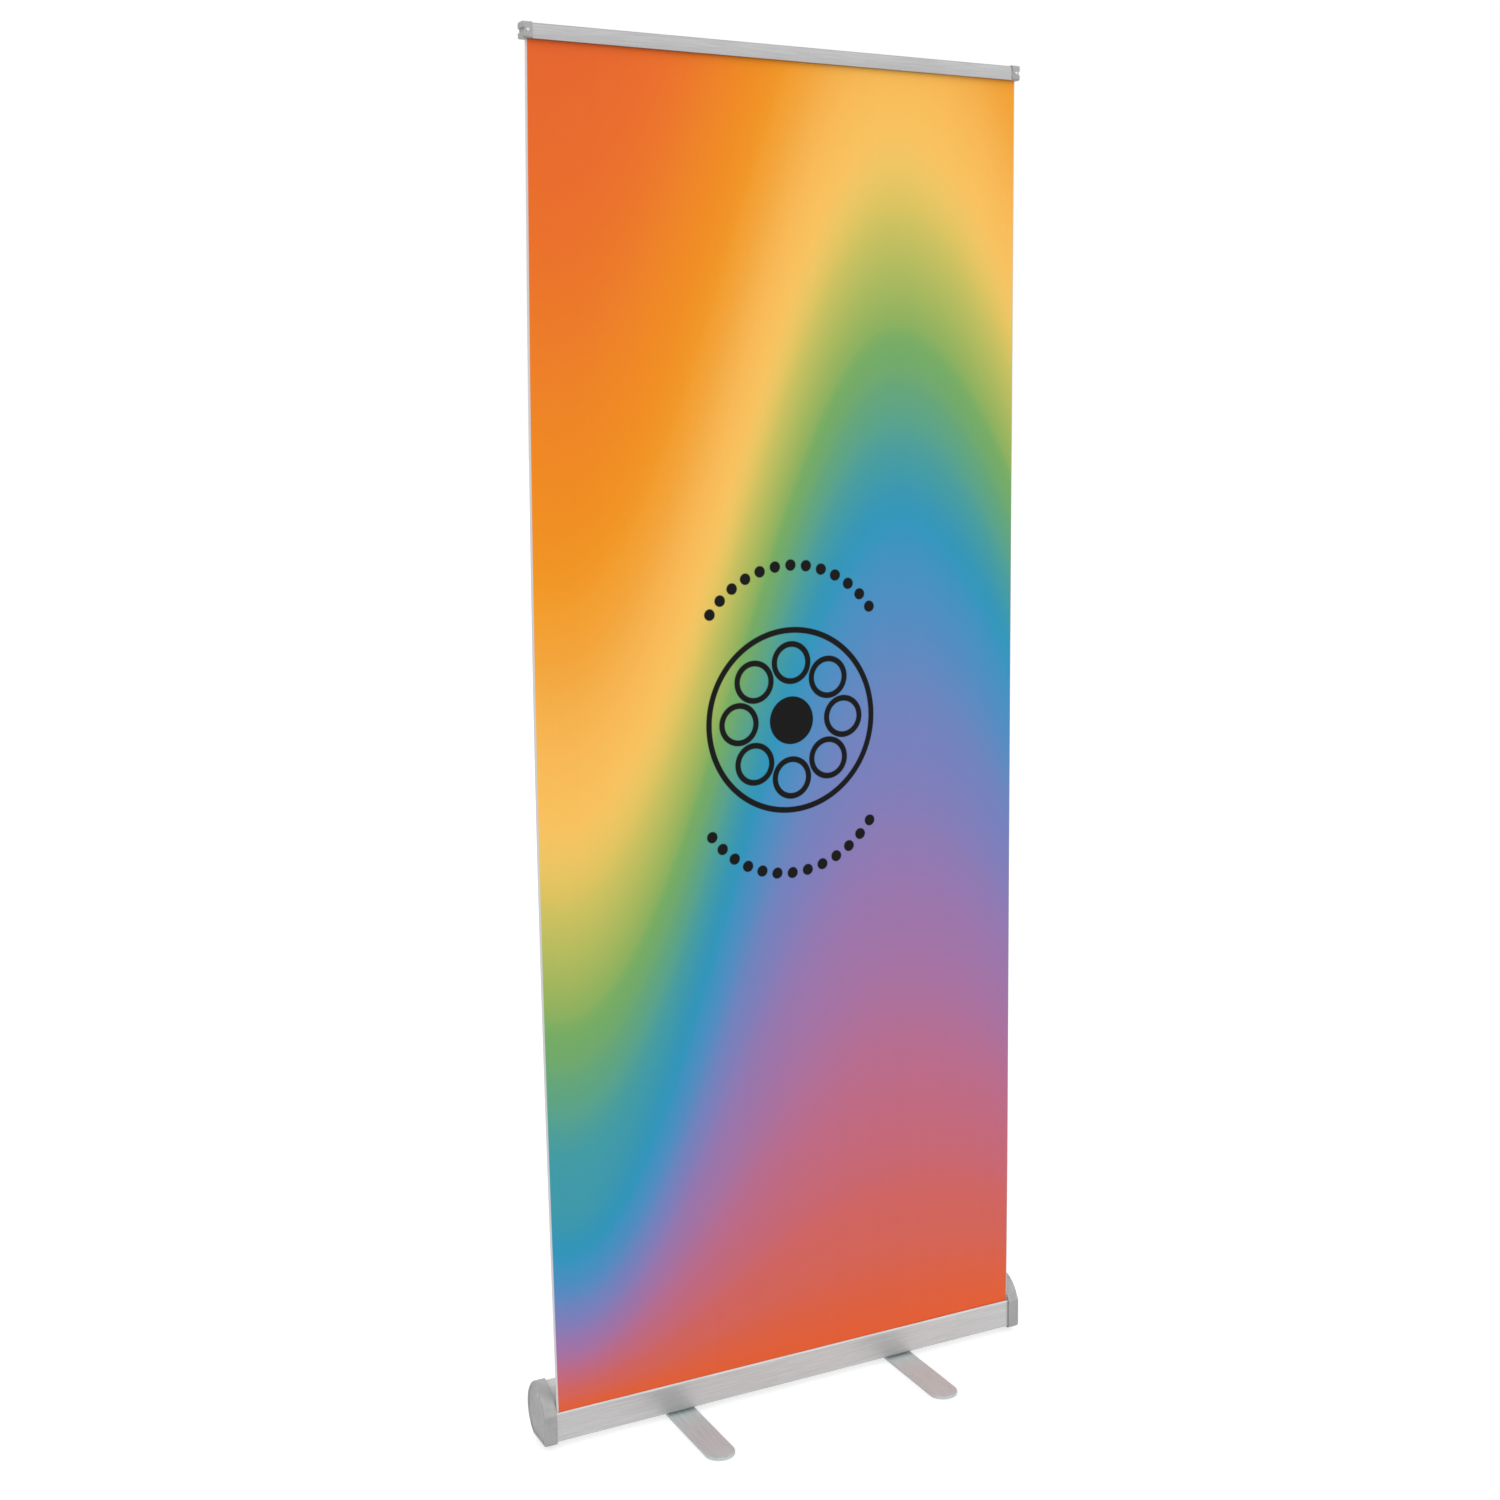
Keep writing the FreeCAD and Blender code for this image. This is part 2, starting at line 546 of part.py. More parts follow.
def foot_bar_right():
    """Flat foot with round ends, countersunk from below for its pivot screw."""
    radius = FOOT_W / 2
    straight_l = FOOT_L / 2 - radius
    bar = box((FOOT_X - radius, FOOT_X + radius), (-straight_l, straight_l), (FOOT_Z, FOOT_TOP))
    for side in (-1, 1):
        bar = bar.fuse(rod(radius, (FOOT_X, side * straight_l, FOOT_Z), Z_AXIS, FOOT_T))
    bar = bar.removeSplitter()
    edges = [e for e in bar.Edges if all(abs(v.Z - FOOT_TOP) < 1e-6 for v in e.Vertexes)]
    bar = bar.makeFillet(FOOT_EDGE_R, edges)
    bar = bar.cut(rod(PIVOT_R + FIT, (FOOT_X, 0, 0), Z_AXIS, 2 * FOOT_TOP))
    sink = Part.makeCone(PIVOT_HEAD_R + APART, PIVOT_R + FIT, PIVOT_HEAD_H + APART, Vector(FOOT_X, 0, FOOT_Z))
    return bar.cut(sink)


def foot_pads_right():
    """Two rubber pads under one foot."""
    reach = FOOT_L / 2 - PAD_INSET
    return Part.makeCompound([rod(PAD_R, (FOOT_X, side * reach, 0), Z_AXIS, PAD_T) for side in (-1, 1)])


def foot_pivot_screws():
    """Countersunk screw up through each foot, its spacer and the housing's floor."""
    head = Part.makeCone(PIVOT_HEAD_R, PIVOT_R, PIVOT_HEAD_H, Vector(FOOT_X, 0, FOOT_Z))
    shank = rod(PIVOT_R, (FOOT_X, 0, FOOT_Z), Z_AXIS, FLOOR_Z + NUT_H - FOOT_Z)
    drive = hex_prism(PIVOT_DRIVE_ACROSS, (FOOT_X, 0, FOOT_Z), Z_AXIS, PIVOT_DRIVE_H)
    return both_sides(head.fuse(shank).removeSplitter().cut(drive))


def foot_spacers():
    """Washer between each foot and the housing."""
    return both_sides(tube(SPACER_R, PIVOT_R + FIT / 2, (FOOT_X, 0, FOOT_TOP), Z_AXIS, HOUSING_Z - FOOT_TOP))


def pivot_nuts():
    """Nut on each pivot screw, inside the housing."""
    nut = hex_prism(NUT_ACROSS, (FOOT_X, 0, FLOOR_Z), Z_AXIS, NUT_H)
    return both_sides(nut.cut(rod(PIVOT_R + FIT / 2, (FOOT_X, 0, FLOOR_Z), Z_AXIS, NUT_H)))


# ---- Pole ---------------------------------------------------------------------------------

def pole_tube(level):
    """One of the three tubes, counted from the bottom."""
    outer = TUBE_RADII[level]
    return tube(outer, outer - TUBE_WALL, (0, POLE_Y, TUBE_BOTTOMS[level]), Z_AXIS, SECTION_L)


def pole_foot_plug():
    """Plug under the lower tube, which stands on the bottom of the socket."""
    base = rod(TUBE_RADII[0], (0, POLE_Y, SOCKET_FLOOR), Z_AXIS, FOOT_PLUG_T)
    spigot_r = TUBE_RADII[0] - TUBE_WALL - FIT
    spigot = tube(spigot_r, spigot_r - FOOT_PLUG_WALL, (0, POLE_Y, TUBE_FOOT), Z_AXIS, GLIDE_SPIGOT_H)
    return base.fuse(spigot).removeSplitter()


def glide(level):
    """Bush on the lower end of a sliding tube, with a spigot up inside it."""
    outer = TUBE_RADII[level - 1] - TUBE_WALL - SLIDE_FIT
    bottom = TUBE_BOTTOMS[level]
    spigot_r = TUBE_RADII[level] - TUBE_WALL - FIT
    bore_r = spigot_r - GLIDE_WALL
    ring = rod(outer, (0, POLE_Y, bottom), -Z_AXIS, GLIDE_H)
    spigot = rod(spigot_r, (0, POLE_Y, bottom), Z_AXIS, GLIDE_SPIGOT_H)
    bore = rod(bore_r, (0, POLE_Y, bottom - GLIDE_H), Z_AXIS, GLIDE_H + GLIDE_SPIGOT_H)
    return ring.fuse(spigot).removeSplitter().cut(bore)


def collet(level):
    """Split tapered ring on the top of a tube, which grips the next tube."""
    top = TUBE_TOPS[level]
    bore_r = TUBE_RADII[level + 1] + SLIDE_FIT
    body = Part.makeCone(TUBE_RADII[level], bore_r + COLLET_T / 2, COLLET_H, Vector(0, POLE_Y, top))
    body = body.cut(rod(bore_r, (0, POLE_Y, top), Z_AXIS, COLLET_H))
    reach = TUBE_RADII[level] + PAST
    half = COLLET_SLOT / 2
    slots_z = (top + COLLET_RING_H, top + COLLET_H + PAST)
    body = body.cut(box((-reach, reach), (POLE_Y - half, POLE_Y + half), slots_z))
    return body.cut(box((-half, half), (POLE_Y - reach, POLE_Y + reach), slots_z))


def lock_collar(level):
    """Twist-lock collar round the top of a tube, fluted for grip."""
    top = TUBE_TOPS[level]
    bottom = top - COLLAR_BELOW
    outer = TUBE_RADII[level] + COLLAR_T
    body = rod(outer, (0, POLE_Y, bottom), Z_AXIS, COLLAR_BELOW + COLLAR_ABOVE)
    ends = [e for e in body.Edges if len(e.Vertexes) == 1]
    body = body.makeChamfer(COLLAR_CHAMFER, ends)
    reach = outer + GROOVE_OUT
    for n in range(COLLAR_GROOVES):
        angle = 2 * math.pi * n / COLLAR_GROOVES
        start = (reach * math.cos(angle), POLE_Y + reach * math.sin(angle), bottom + GROOVE_END)
        body = body.cut(rod(GROOVE_R, start, Z_AXIS, COLLAR_BELOW + COLLAR_ABOVE - 2 * GROOVE_END))
    socket = rod(TUBE_RADII[level] + APART, (0, POLE_Y, bottom), Z_AXIS, COLLAR_BELOW)
    taper_top = TUBE_RADII[level + 1] + SLIDE_FIT + COLLET_T / 2 + APART
    taper = Part.makeCone(TUBE_RADII[level] + APART, taper_top, COLLET_H + APART, Vector(0, POLE_Y, top))
    mouth = rod(TUBE_RADII[level + 1] + APART, (0, POLE_Y, top), Z_AXIS, COLLAR_ABOVE + PAST)
    return body.cut(socket.fuse(taper)).cut(mouth)


def pole_head():
    """Head on the pole: a sleeve, an arm that reaches forward and a tongue that the rail hangs on."""
    radius = TUBE_RADII[2] + FIT
    arm_top = POLE_TOP + HEAD_ARM_H
    sleeve_z = POLE_TOP - HEAD_SLEEVE_H
    sleeve = rod(radius + HEAD_WALL, (0, POLE_Y, sleeve_z), Z_AXIS, arm_top - sleeve_z)
    arm_half = radius + HEAD_WALL
    arm = box((-arm_half, arm_half), (TONGUE_Y, POLE_Y), (POLE_TOP, arm_top))
    half = TONGUE_W / 2
    tongue = box((-half, half), (TONGUE_Y, TONGUE_Y + TONGUE_T), (POLE_TOP, CHANNEL_TOP))
    body = sleeve.fuse(arm).fuse(tongue).removeSplitter()
    return body.cut(rod(radius, (0, POLE_Y, sleeve_z), Z_AXIS, HEAD_SLEEVE_H))


# ---- Top rail -----------------------------------------------------------------------------

def rail_back():
    """Rear profile of the rail: film wall, roof, channel for the pole head, and hinge bead."""
    start = -PROFILE_L / 2
    span = (start, -start)
    wall = box(span, (RAIL_FACE_Y, RAIL_FACE_Y + RAIL_WALL), (RAIL_Z, RAIL_TOP))
    roof = box(span, (RAIL_FACE_Y, RAIL_REAR_Y), (CHANNEL_TOP, RAIL_TOP))
    lip = box(span, (RAIL_LIP_Y, RAIL_REAR_Y), (RAIL_TOP - RAIL_LIP_H, RAIL_TOP))
    half = BEAD_NECK_T / 2
    neck = box(span, (HINGE_Y, RAIL_FACE_Y), (HINGE_Z - half, HINGE_Z + half))
    bead = rod(BEAD_R, (start, HINGE_Y, HINGE_Z), X_AXIS, PROFILE_L)
    return wall.fuse([roof, lip, neck, bead]).removeSplitter()


def rail_clamp_cover():
    """Front profile of the rail, which turns on the bead and clamps the film at its foot."""
    length = PROFILE_L - 2 * APART
    start = -length / 2
    foot_y = FILM_Y - FILM_T / 2 - APART
    outer = bowed((COVER_Y, HINGE_Z), (COVER_Y, RAIL_Z), COVER_CROWN)
    outline = Part.Wire([
        outer,
        straight((COVER_Y, RAIL_Z), (foot_y, RAIL_Z)),
        straight((foot_y, RAIL_Z), (foot_y, RAIL_Z + COVER_TOOTH_H)),
        straight((foot_y, RAIL_Z + COVER_TOOTH_H), (foot_y - COVER_TOOTH_T, RAIL_Z + COVER_TOOTH_H)),
        straight((foot_y - COVER_TOOTH_T, RAIL_Z + COVER_TOOTH_H), (foot_y - COVER_TOOTH_T, RAIL_Z + COVER_T)),
        straight((foot_y - COVER_TOOTH_T, RAIL_Z + COVER_T), (COVER_Y + COVER_T, RAIL_Z + COVER_T)),
        straight((COVER_Y + COVER_T, RAIL_Z + COVER_T), (COVER_Y + COVER_T, HINGE_Z)),
        straight((COVER_Y + COVER_T, HINGE_Z), (COVER_Y, HINGE_Z)),
    ])
    cover = push(outline, start, length)
    knuckle = rod(KNUCKLE_R, (start, HINGE_Y, HINGE_Z), X_AXIS, length)
    cover = cover.fuse(knuckle).removeSplitter()
    cover = cover.cut(rod(KNUCKLE_R - KNUCKLE_T, (start, HINGE_Y, HINGE_Z), X_AXIS, length))
    margin = math.degrees(math.asin((BEAD_NECK_T / 2 + APART) / (BEAD_R + APART)))
    mouth = [(HINGE_Y, HINGE_Z)]
    for angle in (-margin, COVER_OPENS / 2, COVER_OPENS + margin):
        turn = math.radians(angle)
        mouth.append((HINGE_Y + 2 * KNUCKLE_R * math.cos(turn), HINGE_Z + 2 * KNUCKLE_R * math.sin(turn)))
    return cover.cut(prism(mouth, start, length))


def rail_cap_right():
    """End cap of the rail, notched across its outer face, with a plug in the rail's channel."""
    inner = PROFILE_L / 2
    outer = RAIL_L / 2
    depth = (COVER_Y - COVER_CROWN - RAIL_CAP_LIP, RAIL_REAR_Y + RAIL_CAP_LIP)
    body = box((inner, outer), depth, (RAIL_Z, RAIL_TOP + RAIL_CAP_LIP))
    corners = [e for e in body.Edges if abs(e.Vertexes[0].X - e.Vertexes[1].X) > 1e-6]
    body = body.makeFillet(RAIL_CAP_R, corners)
    rim = [e for e in body.Edges if all(abs(v.X - outer) < 1e-6 for v in e.Vertexes)]
    body = body.makeFillet(RAIL_CAP_EDGE_R, rim)
    middle = (RAIL_Z + RAIL_TOP) / 2
    notch_z = (middle - RAIL_NOTCH_H / 2, middle + RAIL_NOTCH_H / 2)
    across = (depth[0] - PAST, depth[1] + PAST)
    body = body.cut(box((outer - RAIL_NOTCH_D, outer + PAST), across, notch_z))
    plug_y = (TONGUE_Y, TONGUE_Y + TONGUE_T)
    plug = box((inner - RAIL_CAP_PLUG_L, inner), plug_y, (RAIL_TOP - RAIL_LIP_H, CHANNEL_TOP - FIT))
    hole = rod(RAIL_SCREW_R + FIT, (rail_screw_x(), depth[0] - PAST, middle), Y_AXIS, RAIL_SCREW_L + 2 * PAST)
    return body.fuse(plug).removeSplitter().cut(hole)


def rail_screw_x():
    """Place of the small screw along a rail cap."""
    return RAIL_L / 2 - RAIL_CAP_L / 2


def rail_cap_screws():
    """Small screw in the front of each rail cap."""
    face = COVER_Y - COVER_CROWN - RAIL_CAP_LIP
    start = (rail_screw_x(), face, (RAIL_Z + RAIL_TOP) / 2)
    head = rod(RAIL_SCREW_HEAD_R, start, -Y_AXIS, RAIL_SCREW_HEAD_H)
    shank = rod(RAIL_SCREW_R, start, Y_AXIS, RAIL_SCREW_L)
    return both_sides(head.fuse(shank).removeSplitter())


# ---- Nodes --------------------------------------------------------------------------------

NODES = {
    "housing_shell": housing_shell(),
    "end_cap_left": mirrored(end_cap_right()),
    "end_cap_right": end_cap_right(),
    "end_cap_screws": end_cap_screws(),
    "pole_socket": pole_socket(),
    "socket_screws": socket_screws(),
    "idler_axle": idler_axle(),
    "spring_arbor": spring_arbor(),
    "spring_anchor": spring_anchor(),
    "torsion_spring": torsion_spring(),
    "roller_tube": roller_tube(),
    "roller_plug_left": mirrored(roller_plug_right()),
    "roller_plug_right": roller_plug_right(),
    "film_roll": film_roll(),
    "film_leader": film_leader(),
    "banner_lower": banner_lower(),
    "banner_upper": banner_upper(),
    "foot_bar_left": mirrored(foot_bar_right()),
    "foot_bar_right": foot_bar_right(),
    "foot_pads_left": mirrored(foot_pads_right()),
    "foot_pads_right": foot_pads_right(),
    "foot_pivot_screws": foot_pivot_screws(),
    "foot_spacers": foot_spacers(),
    "pivot_nuts": pivot_nuts(),
    "pole_foot_plug": pole_foot_plug(),
    "pole_tube_lower": pole_tube(0),
    "pole_tube_middle": pole_tube(1),
    "pole_tube_upper": pole_tube(2),
    "lower_collet": collet(0),
    "upper_collet": collet(1),
    "lock_collar_lower": lock_collar(0),
    "lock_collar_upper": lock_collar(1),
    "middle_glide": glide(1),
    "upper_glide": glide(2),
    "pole_head": pole_head(),
    "rail_back": rail_back(),
    "rail_clamp_cover": rail_clamp_cover(),
    "rail_cap_left": mirrored(rail_cap_right()),
    "rail_cap_right": rail_cap_right(),
    "rail_cap_screws": rail_cap_screws(),
}

os.makedirs("parts", exist_ok=True)
for name, shape in NODES.items():
    if not shape.isValid():
        print("not valid:", name)
    shape.exportStep(os.path.join("parts", name + ".step"))
    extent = shape.BoundBox
    heights = f"z {extent.ZMin:.1f} to {extent.ZMax:.1f}"
    print(f"{name}: {len(shape.Solids)} solid(s), {heights}, {shape.Volume:.0f} mm3")
print(f"travel of each sliding tube {TRAVEL:.2f}, film split at {FILM_SPLIT:.2f}")
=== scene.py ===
"""Looks of a roll-up banner stand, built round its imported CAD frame.

Everything is in metres and in the frame's own axes: X along the base, -Y the side that the print
faces, Z up from the floor.
"""

import logging
import math
from abc import ABC, abstractmethod
from collections.abc import Callable, Iterable
from dataclasses import dataclass, field
from enum import Enum
from functools import partialmethod
from typing import Union

import bmesh
import bpy
from mathutils import Matrix, Vector


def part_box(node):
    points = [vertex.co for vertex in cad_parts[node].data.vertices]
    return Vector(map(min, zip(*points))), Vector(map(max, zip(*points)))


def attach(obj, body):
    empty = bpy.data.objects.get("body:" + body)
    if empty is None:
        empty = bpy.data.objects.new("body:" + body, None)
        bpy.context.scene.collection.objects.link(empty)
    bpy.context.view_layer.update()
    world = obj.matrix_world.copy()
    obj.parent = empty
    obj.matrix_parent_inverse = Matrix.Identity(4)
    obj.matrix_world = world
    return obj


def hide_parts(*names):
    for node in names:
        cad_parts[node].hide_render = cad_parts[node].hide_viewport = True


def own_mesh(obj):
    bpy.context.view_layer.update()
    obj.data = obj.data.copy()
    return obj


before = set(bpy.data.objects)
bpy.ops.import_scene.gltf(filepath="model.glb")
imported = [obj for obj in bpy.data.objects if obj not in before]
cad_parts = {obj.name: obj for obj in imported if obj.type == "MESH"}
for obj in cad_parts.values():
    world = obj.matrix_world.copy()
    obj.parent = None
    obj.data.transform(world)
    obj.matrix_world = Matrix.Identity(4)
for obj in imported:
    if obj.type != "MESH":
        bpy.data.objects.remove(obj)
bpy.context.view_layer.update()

LOG: logging.Logger = logging.getLogger("banner_stand")

Pair = tuple[float, float]
Colour = tuple[float, float, float]
Piece = bpy.types.Object
Inputs = bpy.types.NodeInputs
Outputs = bpy.types.NodeOutputs
Socket = bpy.types.NodeSocket
VECTOR: str = "NodeSocketVector"
NUMBER: str = "NodeSocketFloat"
Value = Union[float, Socket]


def shade(red: int, green: int, blue: int) -> Colour:
    """Turns a colour as a screen shows it into the linear colour that a shader takes.

    Args:
        red: Red from 0 to 255.
        green: Green from 0 to 255.
        blue: Blue from 0 to 255.

    Returns:
        The same colour, linear, from 0 to 1.
    """
    toe, toe_slope, offset, gamma = 0.04045, 12.92, 0.055, 2.4

    def linear(level: int) -> float:
        """Linear value of one channel."""
        share = level / 255
        return share / toe_slope if share <= toe else ((share + offset) / (1 + offset)) ** gamma

    return (linear(red), linear(green), linear(blue))


# Node trees


class Graph:
    """Adds nodes to one node tree and links them."""

    def __init__(self, tree: bpy.types.NodeTree) -> None:
        """Starts on a tree that may already hold nodes."""
        self.tree = tree

    def node(self, kind: str, **settings: object) -> bpy.types.Node:
        """Adds one node.

        Args:
            kind: Blender's name for the type of node.
            **settings: Properties to set on it.

        Returns:
            The new node.
        """
        made = self.tree.nodes.new(kind)
        for name, value in settings.items():
            setattr(made, name, value)
        return made

    def feed(self, socket: Socket, value: object) -> None:
        """Links a socket to another one, or gives it a constant."""
        if isinstance(value, Socket):
            self.tree.links.new(value, socket)
        else:
            socket.default_value = value

    def math(self, operation: str, *values: Value, clamp: bool = False) -> Socket:
        """Adds a Math node.

        Args:
            operation: Blender's name for the operation.
            *values: Its inputs, in order.
            clamp: Whether the result is kept between 0 and 1.

        Returns:
            Its result.
        """
        made = self.node("ShaderNodeMath", operation=operation, use_clamp=clamp)
        for socket, value in zip(made.inputs, values):
            self.feed(socket, value)
        return made.outputs[0]

    plus = partialmethod(math, "ADD")
    minus = partialmethod(math, "SUBTRACT")
    times = partialmethod(math, "MULTIPLY")
    over = partialmethod(math, "DIVIDE")

    def hypot(self, first: Socket, second: Socket) -> Socket:
        """Length of the line whose two legs are given."""
        return self.math("POWER", self.plus(self.times(first, first), self.times(second, second)), 0.5)

    def nearest(self, value: Socket, step: float) -> Socket:
        """The whole number of steps that is nearest to a value."""
        return self.times(self.math("ROUND", self.over(value, step)), step)

    def vector(self, operation: str, *values: object) -> Socket:
        """Adds a Vector Math node and returns its vector, or its number for a dot product."""
        made = self.node("ShaderNodeVectorMath", operation=operation)
        for socket, value in zip(made.inputs, values):
            self.feed(socket, value)
        return made.outputs["Value" if operation == "DOT_PRODUCT" else "Vector"]

    def noise(self, place: Socket, scale: Value, detail: float = 2.0, roughness: float = 0.5) -> Socket:
        """Adds a Noise texture and returns its value from 0 to 1."""
        made = self.node("ShaderNodeTexNoise")
        self.feed(made.inputs["Vector"], place)
        self.feed(made.inputs["Scale"], scale)
        made.inputs["Detail"].default_value = detail
        made.inputs["Roughness"].default_value = roughness
        return made.outputs["Fac"]

    def span(
        self,
        value: Value,
        low: Value,
        high: Value,
        to_low: Value = 0.0,
        to_high: Value = 1.0,
        smooth: bool = True,
    ) -> Socket:
        """Maps a range on to another one, clamped at its ends.

        Args:
            value: What is mapped.
            low: Start of its range.
            high: End of its range.
            to_low: Result at the start.
            to_high: Result at the end.
            smooth: Whether the way between is eased.

        Returns:
            The mapped value.
        """
        made = self.node("ShaderNodeMapRange", interpolation_type="SMOOTHSTEP" if smooth else "LINEAR")
        for name, given in zip(
            ("Value", "From Min", "From Max", "To Min", "To Max"), (value, low, high, to_low, to_high)
        ):
            self.feed(made.inputs[name], given)
        return made.outputs["Result"]

    def blend(self, share: Value, first: object, second: object) -> Socket:
        """Mixes two colours, with the second in full where the share is 1."""
        made = self.node("ShaderNodeMix", data_type="RGBA")
        colours = [socket for socket in made.inputs if socket.type == "RGBA"]
        self.feed(made.inputs["Factor"], share)
        for socket, colour in zip(colours, (first, second)):
            self.feed(socket, colour if isinstance(colour, Socket) else (*colour, 1.0))
        return next(socket for socket in made.outputs if socket.type == "RGBA")

    def bump(self, height: Socket, depth: float, normal: Socket | None = None) -> Socket:
        """Turns a height from 0 to 1 into a normal, for relief of a depth in metres."""
        made = self.node("ShaderNodeBump")
        made.inputs["Distance"].default_value = depth
        self.feed(made.inputs["Height"], height)
        if normal is not None:
            self.feed(made.inputs["Normal"], normal)
        return made.outputs["Normal"]

    def place(self) -> Socket:
        """Returns the place on the surface, in the piece's own metres."""
        return self.node("ShaderNodeTexCoord").outputs["Object"]

    def effect(self, group: "Effect", **values: object) -> bpy.types.Node:
        """Places a shared effect.

        Args:
            group: The effect.
            **values: Its inputs, by name with spaces as underscores.

        Returns:
            The node, whose outputs are the effect's own.
        """
        made = self.node("ShaderNodeGroup", node_tree=group.tree())
        for name, value in values.items():
            self.feed(made.inputs[name.replace("_", " ")], value)
        return made


class Effect(ABC):
    """One shader effect that several finishes share, kept as a node group that is built once."""

    title: str = ""
    takes: tuple[tuple[str, str], ...] = ()
    gives: tuple[tuple[str, str], ...] = ()

    def tree(self) -> bpy.types.NodeTree:
        """Returns the node group, and builds it the first time."""
        made = bpy.data.node_groups.get(self.title)
        if made is None:
            made = bpy.data.node_groups.new(self.title, "ShaderNodeTree")
            for name, kind in self.takes:
                made.interface.new_socket(name, in_out="INPUT", socket_type=kind)
            for name, kind in self.gives:
                made.interface.new_socket(name, in_out="OUTPUT", socket_type=kind)
            graph = Graph(made)
            entry, result = graph.node("NodeGroupInput"), graph.node("NodeGroupOutput")
            self.wire(graph, entry.outputs, result.inputs)
        return made

    @abstractmethod
    def wire(self, graph: Graph, takes: Outputs, gives: Inputs) -> None:
        """Builds the effect between the group's inputs and outputs."""


class DrawnLines(Effect):
    """Fine lines that drawing or extruding leaves along a profile."""

    title = "drawn lines"
    takes = (("Place", VECTOR), ("Scale", NUMBER))
    gives = (("Tone", NUMBER), ("Height", NUMBER))
    finer = 6.0
    fine_share = 0.4

    def wire(self, graph: Graph, takes: Outputs, gives: Inputs) -> None:
        """Adds broad soft bands to fine sharp ones."""
        broad = graph.noise(takes["Place"], takes["Scale"], detail=3.0)
        finer = graph.times(takes["Scale"], self.finer)
        fine = graph.noise(takes["Place"], finer, detail=5.0, roughness=0.7)
        tone = graph.plus(graph.times(broad, 1.0 - self.fine_share), graph.times(fine, self.fine_share))
        graph.feed(gives["Tone"], tone)
        graph.feed(gives["Height"], fine)


class Speckle(Effect):
    """Even fine grain, such as an etched anodised skin or a spark-eroded mould leaves."""

    title = "speckle"
    takes = (("Place", VECTOR), ("Scale", NUMBER))
    gives = (("Tone", NUMBER), ("Height", NUMBER))
    cloud_share = 0.04

    def wire(self, graph: Graph, takes: Outputs, gives: Inputs) -> None:
        """Takes pits from a cell pattern and unevenness from noise."""
        cells = graph.node("ShaderNodeTexVoronoi", feature="SMOOTH_F1")
        graph.feed(cells.inputs["Vector"], takes["Place"])
        graph.feed(cells.inputs["Scale"], takes["Scale"])
        cloud = graph.noise(takes["Place"], graph.times(takes["Scale"], self.cloud_share), detail=4.0)
        graph.feed(gives["Tone"], cloud)
        graph.feed(gives["Height"], cells.outputs["Distance"])


class EdgeWearAndSheen(Effect):
    """Rounds a sharp edge's shading, and masks the edges in patches for wear and for a painted sheen."""

    title = "edge wear and painted sheen"
    takes = (("Place", VECTOR), ("Radius", NUMBER), ("Patchiness", NUMBER))
    gives = (("Mask", NUMBER), ("Normal", VECTOR))
    edge_turn = (0.004, 0.16)
    patch_scale = 60.0
    patch_soft = 0.3

    def wire(self, graph: Graph, takes: Outputs, gives: Inputs) -> None:
        """Compares the rounded normal with the true one, and breaks the result up with noise."""
        rounded = graph.node("ShaderNodeBevel", samples=6)
        graph.feed(rounded.inputs["Radius"], takes["Radius"])
        true = graph.node("ShaderNodeNewGeometry").outputs["Normal"]
        turned = graph.minus(1.0, graph.vector("DOT_PRODUCT", rounded.outputs["Normal"], true))
        edge = graph.span(turned, *self.edge_turn)
        patches = graph.noise(takes["Place"], self.patch_scale, detail=5.0, roughness=0.65)
        low = graph.times(takes["Patchiness"], 0.5)
        kept = graph.span(patches, low, graph.plus(takes["Patchiness"], self.patch_soft))
        # Mask of edges where finishes paint a lighter colour: partly handling wear, partly painted sheen.
        graph.feed(gives["Mask"], graph.times(edge, kept))
        graph.feed(gives["Normal"], rounded.outputs["Normal"])


class Dust(Effect):
    """Thin dust that settles where a surface faces up, and smudges from hands elsewhere."""

    title = "dust"
    takes = (("Place", VECTOR), ("Amount", NUMBER))
    gives = (("Mask", NUMBER), ("Smudge", NUMBER))
    facing_up = (0.2, 1.0)
    cloud_scale = 14.0
    cloud_range = (0.35, 0.8)
    hand_scale = 9.0
    hand_range = (0.5, 0.75)

    def wire(self, graph: Graph, takes: Outputs, gives: Inputs) -> None:
        """Weighs a cloudy pattern by how far the surface faces up."""
        normal = graph.node("ShaderNodeNewGeometry").outputs["Normal"]
        rise = graph.span(graph.vector("DOT_PRODUCT", normal, (0.0, 0.0, 1.0)), *self.facing_up)
        cloud = graph.noise(takes["Place"], self.cloud_scale, detail=6.0, roughness=0.6)
        settled = graph.times(rise, graph.span(cloud, *self.cloud_range))
        graph.feed(gives["Mask"], graph.times(settled, takes["Amount"]))
        hands = graph.noise(takes["Place"], self.hand_scale, detail=3.0, roughness=0.5)
        graph.feed(gives["Smudge"], graph.span(hands, *self.hand_range))


# Finishes


class Run(Enum):
    """Direction along which a profile was drawn, as what its place is multiplied by."""

    ALONG_X = (0.02, 1.0, 1.0)
    ALONG_Y = (1.0, 0.02, 1.0)
    ALONG_Z = (1.0, 1.0, 0.02)


